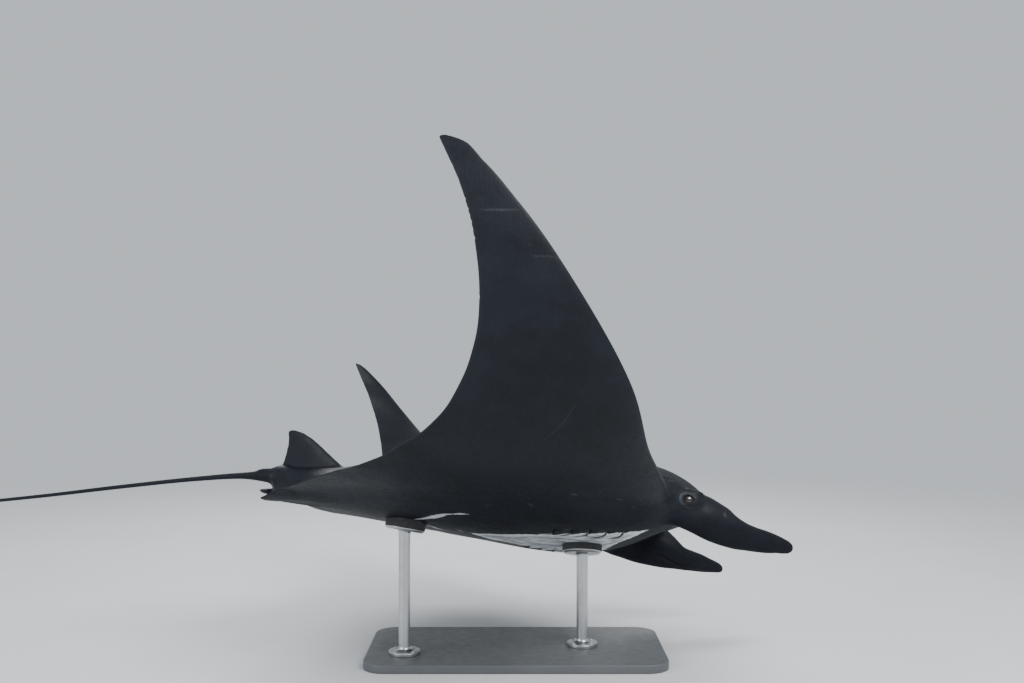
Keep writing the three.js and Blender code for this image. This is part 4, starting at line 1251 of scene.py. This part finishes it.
ROD_R, FLANGE_R, FLANGE_H, FILLET, PAD_R, PAD_H, PLATE_T = 30.0, 82.0, 20.0, 22.0, 105.0, 46.0, 12.0
NA = 96
ring_angle = np.arange(NA) * 2 * math.pi / NA
screws = []
RODS, SADDLES = [], []
for label, back in (("front", .125), ("rear", .315)):
    at, n, e1, e2 = stand_frame(back)
    tree_ = skin_tree(at)

    def hit(px, py):
        o = at + e1 * px + e2 * py - n * 90.0
        loc, _, _, dist = tree_.ray_cast(Vector(o), Vector(n), 200.0)
        return (dist - 90.0) if loc is not None else 0.0

    def disc_ring(r, h):
        return np.stack([at + e1 * r * math.cos(a) + e2 * r * math.sin(a) + n * (h[i] if hasattr(h, "__len__") else h) for i, a in enumerate(ring_angle)]) / 1000.0

    # backing plate of the saddle
    plate = [disc_ring(r, h) for r, h in [(60, -PAD_H), (93.5, -PAD_H), (95, -PAD_H + .4), (103, -PAD_H + 8.2), (103.6, -PAD_H + 9.4), (103.6, -PAD_H + PLATE_T - .8), (103, -PAD_H + PLATE_T), (60, -PAD_H + PLATE_T)]]
    plate = outwards(*rings_mesh("plate", plate))
    # rubber pad, its upper face pressed to the skin
    low = -PAD_H + PLATE_T
    radii = np.array([8, 22, 36, 50, 62, 74, 84, 92, 97, 100.5, 102.8, 104.2, 104.9, 105.0])
    drop = np.array([0, 0, 0, 0, 0, 0, 0, 0, .25, .9, 1.9, 3.1, 4.6, 6.5])
    rows = []
    for r, d in zip(radii, drop):
        h = [hit(r * math.cos(a), r * math.sin(a)) + 1.1 - d for a in ring_angle]
        rows.append(disc_ring(r, h))
    wall = rows[-1]
    top_h = [(wall[i] * 1000 - at) @ n for i in range(NA)]
    rows += [disc_ring(105.0, [low + 4 + (h - low - 4) * .5 for h in top_h]), disc_ring(105.0, low + 3.0), disc_ring(104.2, low + 1.0), disc_ring(102.6, low + .1), disc_ring(60, low + .1)]
    pad = outwards(*rings_mesh("pad", rows[::-1]))
    SADDLES.append((piece("saddle_pad_" + label, pad, ["stand_saddle_" + label]), piece("saddle_plate_" + label, plate, [])))
    # rod with its flange
    foot = BASE_H + .4
    axis = at - n * PAD_H
    prof = [(40, foot), (79.5, foot)] + arc(79.5, foot + 2.5, 2.5, -90, 0, 5) + arc(78.0, foot + FLANGE_H - 4, 4.0, 0, 90, 7)
    prof += [(53.0, foot + FLANGE_H)] + [(ROD_R + FILLET + FILLET * math.cos(a), foot + FLANGE_H + FILLET + FILLET * math.sin(a)) for a in np.radians(np.linspace(270, 180, 12))]
    rod_rings = [np.stack([axis[0] + r * np.cos(ring_angle), axis[1] + r * np.sin(ring_angle), np.full(NA, z)], 1) / 1000.0 for r, z in prof]

    def rod_ring(r, below):
        dx, dy = r * np.cos(ring_angle), r * np.sin(ring_angle)
        px, py = axis[0] + dx - at[0], axis[1] + dy - at[1]
        z = at[2] + (-PAD_H - below - n[0] * px - n[1] * py) / n[2]
        return np.stack([axis[0] + dx, axis[1] + dy, z], 1) / 1000.0
    z0 = foot + FLANGE_H + FILLET
    z1 = rod_ring(ROD_R, 30)[:, 2].min() * 1000
    for k in np.linspace(0, 1, 7)[1:]:
        rod_rings.append(np.stack([axis[0] + ROD_R * np.cos(ring_angle), axis[1] + ROD_R * np.sin(ring_angle), np.full(NA, z0 + (z1 - 12 - z0) * k)], 1) / 1000.0)
    for r, b in [(ROD_R, 14.0), (ROD_R + .6, 9.5), (ROD_R + 2.4, 5.2), (ROD_R + 5.0, 2.2), (ROD_R + 8.5, .5), (ROD_R + 9.5, .15)]:
        rod_rings.append(rod_ring(r, b))
    rod = outwards(*rings_mesh("rod", rod_rings))
    RODS.append(piece("rod_" + label, rod, ["stand_rod_" + label]))
    for k in range(4):
        a0 = math.radians(45 + 90 * k)
        cx, cy, z = axis[0] + 67 * math.cos(a0), axis[1] + 67 * math.sin(a0), foot + FLANGE_H
        na = 48
        ta = np.arange(na) * 2 * math.pi / na
        hexr = 3.5 / np.maximum(np.cos((ta + .3 * k + math.pi / 6) % (math.pi / 3) - math.pi / 6), .5)
        head_prof = [(8.2, -.6), (8.2, .2), (8.0, 1.4), (7.4, 2.7), (6.3, 3.8), (5.2, 4.4), (4.4, 4.65)]
        rr = [np.stack([cx + r * np.cos(ta), cy + r * np.sin(ta), np.full(na, z + h)], 1) / 1000.0 for r, h in head_prof]
        for r, h in [(1.02, 4.6), (1.0, 4.3), (.98, 1.6), (.6, 1.3)]:
            rr.append(np.stack([cx + hexr * r * np.cos(ta), cy + hexr * r * np.sin(ta), np.full(na, z + h)], 1) / 1000.0)
        screws.append(outwards(*rings_mesh("screw", rr)))
BASE = piece("base_plate", base_plate(), ["stand_base"])
SCREWS = piece("flange_screws", merged(screws), [])
for o in [BASE, SCREWS] + RODS + [p for pair in SADDLES for p in pair]:
    crease_flat(o)


# ------------------------------------------------------------------ materials
class Graph:
    """Small helper for building shader node trees."""

    def __init__(self, name):
        self.mat = bpy.data.materials.new(name)
        self.mat.use_nodes = True
        self.t = self.mat.node_tree
        self.t.nodes.clear()
        self.out = self.t.nodes.new("ShaderNodeOutputMaterial")

    def put(self, socket, value):
        if isinstance(value, bpy.types.NodeSocket):
            self.t.links.new(value, socket)
        elif value is not None:
            if isinstance(value, tuple) and len(value) == 3 and len(getattr(socket, "default_value", (0,) * 3)) == 4:
                value = (*value, 1)
            socket.default_value = value

    def node(self, kind, inputs=None, **props):
        n = self.t.nodes.new(kind)
        for k, v in props.items():
            setattr(n, k, v)
        for k, v in (inputs or {}).items():
            self.put(n.inputs[k], v)
        return n

    def attr(self, name):
        return self.node("ShaderNodeAttribute", attribute_name=name)

    def math(self, op, a, b=None, c=None, clamp=False):
        n = self.node("ShaderNodeMath", operation=op, use_clamp=clamp)
        for i, v in enumerate((a, b, c)):
            if v is not None:
                self.put(n.inputs[i], v)
        return n.outputs[0]

    def vmath(self, op, a, b=None, scale=None):
        n = self.node("ShaderNodeVectorMath", operation=op)
        self.put(n.inputs[0], a)
        if b is not None:
            self.put(n.inputs[1], b)
        if scale is not None:
            self.put(n.inputs["Scale"], scale)
        return n.outputs[0]

    def noise(self, p, scale, detail=3.0, rough=.5, distort=0.0):
        n = self.node("ShaderNodeTexNoise", {"Vector": p, "Scale": scale, "Detail": detail, "Roughness": rough, "Distortion": distort})
        return n.outputs["Fac"]

    def span(self, v, a, b, lo=0.0, hi=1.0, kind="SMOOTHSTEP"):
        n = self.node("ShaderNodeMapRange", interpolation_type=kind)
        n.clamp = True
        for i, q in enumerate((v, a, b, lo, hi)):
            self.put(n.inputs[i], q)
        return n.outputs[0]

    def mix(self, f, a, b, blend="MIX"):
        n = self.node("ShaderNodeMix", data_type="RGBA", blend_type=blend)
        self.put(n.inputs["Factor"], f)
        self.put(n.inputs[6], a)
        self.put(n.inputs[7], b)
        return n.outputs[2]

    def split(self, v):
        n = self.node("ShaderNodeSeparateXYZ", {"Vector": v})
        return n.outputs[0], n.outputs[1], n.outputs[2]

    def join(self, x, y, z):
        return self.node("ShaderNodeCombineXYZ", {"X": x, "Y": y, "Z": z}).outputs[0]

    def finish(self, colour, rough, normal=None, **fixed):
        b = self.node("ShaderNodeBsdfPrincipled", {"Base Color": colour, "Roughness": rough})
        for k, v in fixed.items():
            self.put(b.inputs[k.replace("_", " ")], v)
        if normal is not None:
            self.put(b.inputs["Normal"], normal)
        self.t.links.new(b.outputs[0], self.out.inputs["Surface"])
        return self.mat


def skin_material():
    g = Graph("manta_skin")
    P = g.attr("flat").outputs["Vector"]
    mx, my, mz = g.split(g.attr("mark").outputs["Vector"])
    sx, sy, sz = g.split(g.attr("shade").outputs["Vector"])
    big = g.noise(P, 1.7, 3, .5)
    mid = g.noise(P, 9.0, 5, .58, .3)
    small = g.noise(P, 46.0, 4, .6)
    tiny = g.noise(P, 260.0, 2, .5)
    # ground colour: blue-black, clouded
    cloud = g.math("ADD", g.math("MULTIPLY", big, .55), g.math("MULTIPLY", mid, .45))
    base = g.mix(g.span(cloud, .36, .66), (.0020, .0028, .0056), (.0058, .0080, .0145))
    base = g.mix(g.math("MULTIPLY", g.span(small, .52, .80), .40), base, (.0155, .0185, .0260))
    # fine grey flecks, in loose patches
    fleck = g.math("MULTIPLY", g.span(tiny, .66, .76), g.span(mid, .50, .72))
    base = g.mix(g.math("MULTIPLY", fleck, .30), base, (.050, .056, .068))
    base = g.mix(g.math("MULTIPLY", sz, .30), base, (.030, .034, .042))
    # faint rubbed spots and scratches
    rub = g.math("MULTIPLY", sx, g.span(small, .28, .62, .35, 1.0))
    base = g.mix(g.math("MULTIPLY", rub, 1.0, clamp=True), base, (.17, .19, .21))
    # pale marks with a ragged, brushed edge
    combed = g.noise(g.vmath("MULTIPLY", P, (34.0, 150.0, 34.0)), 1.0, 3, .55)
    jag = g.math("ADD", g.math("MULTIPLY", g.math("SUBTRACT", g.noise(P, 30.0, 3, .55), .5), 46.0), g.math("MULTIPLY", g.math("SUBTRACT", combed, .5), 17.0))
    fine_jag = g.math("ADD", g.math("MULTIPLY", g.math("SUBTRACT", combed, .5), 10.0), g.math("MULTIPLY", g.math("SUBTRACT", g.noise(P, 85.0, 2, .5), .5), 7.0))
    blaze = g.span(g.math("ADD", mx, jag), 1.6, -2.6)
    lines = g.span(g.math("ADD", my, fine_jag), 1.8, -1.8)
    streak = g.span(g.math("ADD", mz, g.math("MULTIPLY", fine_jag, 1.7)), 6.0, -8.5)
    # inside the blaze: brightest along the border, greyer in the middle
    inner = g.span(mx, -12.0, -62.0)
    tone = g.mix(g.math("MULTIPLY", inner, g.span(g.noise(P, 12.0, 4, .6), .34, .62)), (.74, .77, .78), (.30, .33, .36))
    # painted shade: the dark lines inside the blaze
    tone = g.mix(g.math("MULTIPLY", lines, .93), tone, (.022, .026, .034))
    speck = g.math("MULTIPLY", g.span(g.noise(P, 120.0, 3, .6), .60, .68), g.span(mx, -4.0, -40.0, .9, .35))
    tone = g.mix(speck, tone, (.035, .040, .050))
    colour = g.mix(blaze, base, tone)
    colour = g.mix(g.math("MULTIPLY", streak, .88), colour, (.62, .66, .68))
    # painted shade inside the slits and the mouth
    colour = g.mix(sy, colour, (.010, .009, .010))
    rough = g.math("ADD", g.span(small, .3, .75, .52, .64), g.math("MULTIPLY", big, .06))
    rough = g.math("ADD", rough, g.math("MULTIPLY", g.math("MAXIMUM", blaze, sy), .10))
    rough = g.math("ADD", rough, g.math("MULTIPLY", g.split(g.attr("chin").outputs["Vector"])[0], .30), clamp=True)
    # relief: dermal denticles, fine creases running out along the wings, soft unevenness
    grain = g.noise(P, 620.0, 1, .5)
    crease = g.noise(g.vmath("MULTIPLY", P, (95.0, 13.0, 95.0)), 1.0, 4, .55)
    swell = g.noise(P, 7.0, 2, .4)
    ridges = g.math("ABSOLUTE", g.math("SUBTRACT", g.noise(P, 70.0, 2, .5, .6), .5))
    height = g.math("ADD", g.math("MULTIPLY", grain, .00016), g.math("MULTIPLY", crease, .0011))
    height = g.math("ADD", height, g.math("MULTIPLY", swell, .0065))
    height = g.math("ADD", height, g.math("MULTIPLY", ridges, .0007))
    bump = g.node("ShaderNodeBump", {"Strength": 1.0, "Distance": 1.0, "Height": height}).outputs[0]
    return g.finish(colour, rough, bump, Specular_IOR_Level=.24, Coat_Weight=.05, Coat_Roughness=.25)


def eye_material():
    g = Graph("eye_wet")
    x, y, z = g.split(g.attr("ball").outputs["Vector"])
    P = g.attr("ball").outputs["Vector"]
    r = g.math("SQRT", g.math("ADD", g.math("MULTIPLY", x, x), g.math("MULTIPLY", z, z)))
    ang = g.math("ARCTAN2", z, x)
    fibre = g.noise(g.join(g.math("MULTIPLY", g.math("COSINE", ang), 7.0), g.math("MULTIPLY", g.math("SINE", ang), 7.0), g.math("MULTIPLY", r, 2.2)), 1.0, 4, .6)
    iris = g.mix(g.span(fibre, .35, .68), (.014, .010, .007), (.052, .038, .026))
    iris = g.mix(g.span(r, .42, .64), iris, (.014, .011, .009))
    white = g.mix(g.span(g.noise(P, 5.0, 4, .6), .4, .7), (.035, .031, .029), (.085, .075, .068))
    colour = g.mix(g.span(r, .62, .70), iris, white)
    # pupil: a wide slit, its upper edge hanging down in the middle
    lid = g.math("MULTIPLY", g.math("SUBTRACT", .10, g.math("MULTIPLY", x, x)), 1.0)
    zz = g.math("ADD", z, g.math("MULTIPLY", g.math("MAXIMUM", lid, 0.0), 1.2))
    pr = g.math("SQRT", g.math("ADD", g.math("POWER", g.math("ABSOLUTE", g.math("DIVIDE", x, .34)), 2.0), g.math("POWER", g.math("ABSOLUTE", g.math("DIVIDE", zz, .17)), 2.0)))
    colour = g.mix(g.span(pr, .92, 1.08), (.0015, .0015, .0015), colour)
    bump = g.node("ShaderNodeBump", {"Strength": .25, "Distance": .0006, "Height": g.noise(P, 9.0, 2, .5)}).outputs[0]
    return g.finish(colour, g.span(r, .5, .9, .07, .16), bump, Specular_IOR_Level=.55, Coat_Weight=1.0, Coat_Roughness=.03)


def coat_material():
    g = Graph("powder_coat")
    P = g.node("ShaderNodeTexCoord").outputs["Object"]
    n = g.noise(P, 3.0, 4, .55)
    colour = g.mix(g.span(n, .35, .68), (.080, .085, .090), (.098, .103, .108))
    colour = g.mix(g.math("MULTIPLY", g.span(g.noise(P, 900.0, 1, .5), .60, .78), .30), colour, (.16, .165, .17))
    rough = g.span(g.noise(P, 22.0, 4, .6), .3, .7, .42, .54)
    peel = g.math("ADD", g.math("MULTIPLY", g.noise(P, 420.0, 2, .5), .00028), g.math("MULTIPLY", g.noise(P, 1500.0, 1, .5), .00008))
    bump = g.node("ShaderNodeBump", {"Strength": 1.0, "Distance": 1.0, "Height": peel}).outputs[0]
    return g.finish(colour, rough, bump, Metallic=0.0, Coat_Weight=.12, Coat_Roughness=.35)


def steel_material(name, centres, upright=True):
    """Turned and brushed steel: fine scratches running round the nearest upright axis."""
    g = Graph(name)
    P = g.node("ShaderNodeTexCoord").outputs["Object"]
    x, y, z = g.split(P)
    (ax, ay), (bx, by) = centres
    near_b = g.math("GREATER_THAN", x, (ax + bx) / 2)
    cx = g.math("ADD", ax, g.math("MULTIPLY", near_b, bx - ax))
    cy = g.math("ADD", ay, g.math("MULTIPLY", near_b, by - ay))
    dx, dy = g.math("SUBTRACT", x, cx), g.math("SUBTRACT", y, cy)
    r = g.math("SQRT", g.math("ADD", g.math("MULTIPLY", dx, dx), g.math("MULTIPLY", dy, dy)))
    a = g.math("ARCTAN2", dy, dx)
    line = g.join(g.math("MULTIPLY", g.math("COSINE", a), .8), g.math("MULTIPLY", g.math("SINE", a), .8), g.math("ADD", g.math("MULTIPLY", z, 900.0), g.math("MULTIPLY", r, 900.0)))
    scratch = g.noise(line, 1.0, 4, .62)
    stain = g.noise(P, 11.0, 4, .55)
    colour = g.mix(g.span(scratch, .3, .7), (.47, .475, .48), (.60, .605, .61))
    colour = g.mix(g.math("MULTIPLY", g.span(stain, .48, .72), .30), colour, (.40, .40, .40))
    rough = g.math("ADD", g.span(scratch, .25, .75, .24, .38), g.math("MULTIPLY", stain, .06))
    bump = g.node("ShaderNodeBump", {"Strength": .6, "Distance": .00012, "Height": scratch}).outputs[0]
    return g.finish(colour, rough, bump, Metallic=1.0)


def rubber_material():
    g = Graph("pad_rubber")
    P = g.node("ShaderNodeTexCoord").outputs["Object"]
    colour = g.mix(g.span(g.noise(P, 26.0, 5, .6), .35, .7), (.024, .024, .025), (.034, .034, .035))
    colour = g.mix(g.math("MULTIPLY", g.span(g.noise(P, 310.0, 2, .5), .62, .75), .4), colour, (.075, .074, .072))
    rough = g.span(g.noise(P, 60.0, 3, .5), .3, .7, .72, .88)
    h = g.math("ADD", g.math("MULTIPLY", g.noise(P, 380.0, 2, .5), .0005), g.math("MULTIPLY", g.noise(P, 60.0, 2, .5), .0008))
    bump = g.node("ShaderNodeBump", {"Strength": 1.0, "Distance": 1.0, "Height": h}).outputs[0]
    return g.finish(colour, rough, bump)


axes_m = []
for back in (.315, .125):
    at, n, _, _ = stand_frame(back)
    ax_ = (at - n * PAD_H) / 1000.0
    axes_m.append((float(ax_[0]), float(ax_[1])))
steel = steel_material("turned_steel", axes_m)
rubber = rubber_material()
skin.data.materials.append(skin_material())
eye_mat = eye_material()
for o in EYES:
    o.data.materials.append(eye_mat)
BASE.data.materials.append(coat_material())
for o in RODS + [SCREWS] + [p[1] for p in SADDLES]:
    o.data.materials.append(steel)
for o in [p[0] for p in SADDLES]:
    o.data.materials.append(rubber)

# ------------------------------------------------------------------ floor and light
HAZE = (.78, .83, .88)
HAZE_POWER = .78


def studio_floor():
    """A wide pale floor that melts into the backdrop's colour with distance from the stand."""
    n, radii_ = 96, [2, 5, 9, 14, 20, 30, 60]
    v = [(0.0, 0.0, 0.0)]
    for r in radii_:
        v += [(r * math.cos(2 * math.pi * i / n), r * math.sin(2 * math.pi * i / n), 0.0) for i in range(n)]
    f = [(0, 1 + i, 1 + (i + 1) % n) for i in range(n)]
    for k in range(len(radii_) - 1):
        a, b = 1 + k * n, 1 + (k + 1) * n
        f += [(a + i, b + i, b + (i + 1) % n, a + (i + 1) % n) for i in range(n)]
    mesh = bpy.data.meshes.new("studio_floor")
    mesh.from_pydata(v, [], f)
    o = bpy.data.objects.new("studio_floor", mesh)
    bpy.context.scene.collection.objects.link(o)
    g = Graph("floor_pale")
    P = g.node("ShaderNodeTexCoord").outputs["Object"]
    dist = g.node("ShaderNodeVectorMath", {0: P}, operation="LENGTH").outputs["Value"]
    far = g.span(dist, 2.6, 11.5)
    n1 = g.noise(P, 1.1, 3, .5)
    colour = g.mix(g.span(n1, .3, .7), (.655, .665, .675), (.685, .695, .705))
    b = g.node("ShaderNodeBsdfPrincipled", {"Base Color": colour, "Roughness": .75})
    em = g.node("ShaderNodeEmission", {"Color": HAZE, "Strength": HAZE_POWER})
    mixer = g.node("ShaderNodeMixShader")
    g.put(mixer.inputs[0], far)
    g.t.links.new(b.outputs[0], mixer.inputs[1])
    g.t.links.new(em.outputs[0], mixer.inputs[2])
    g.t.links.new(mixer.outputs[0], g.out.inputs["Surface"])
    o.data.materials.append(g.mat)
    return o


studio_floor()

world = bpy.data.worlds.new("studio")
bpy.context.scene.world = world
world.use_nodes = True
world.node_tree.nodes["Background"].inputs[0].default_value = (*HAZE, 1)
world.node_tree.nodes["Background"].inputs[1].default_value = HAZE_POWER


def area(name, at, target, size, power, colour=(1, 1, 1)):
    l = bpy.data.lights.new(name, "AREA")
    l.shape = "RECTANGLE"
    l.size, l.size_y = size
    l.energy = power
    l.color = colour
    o = bpy.data.objects.new(name, l)
    o.location = at
    o.rotation_euler = (Vector(target) - Vector(at)).to_track_quat("-Z", "Y").to_euler()
    bpy.context.scene.collection.objects.link(o)
    return o


area("key", (3.5, -5.0, 6.0), (0, 0, 1.0), (4.5, 3.0), 620, (.97, .985, 1))
area("fill", (-6.5, -4.5, 3.5), (0, 0, .9), (4.0, 4.0), 260, (.92, .96, 1))
area("rim", (-1.0, 6.0, 6.0), (0, 0, 1.0), (6.0, 2.5), 420)
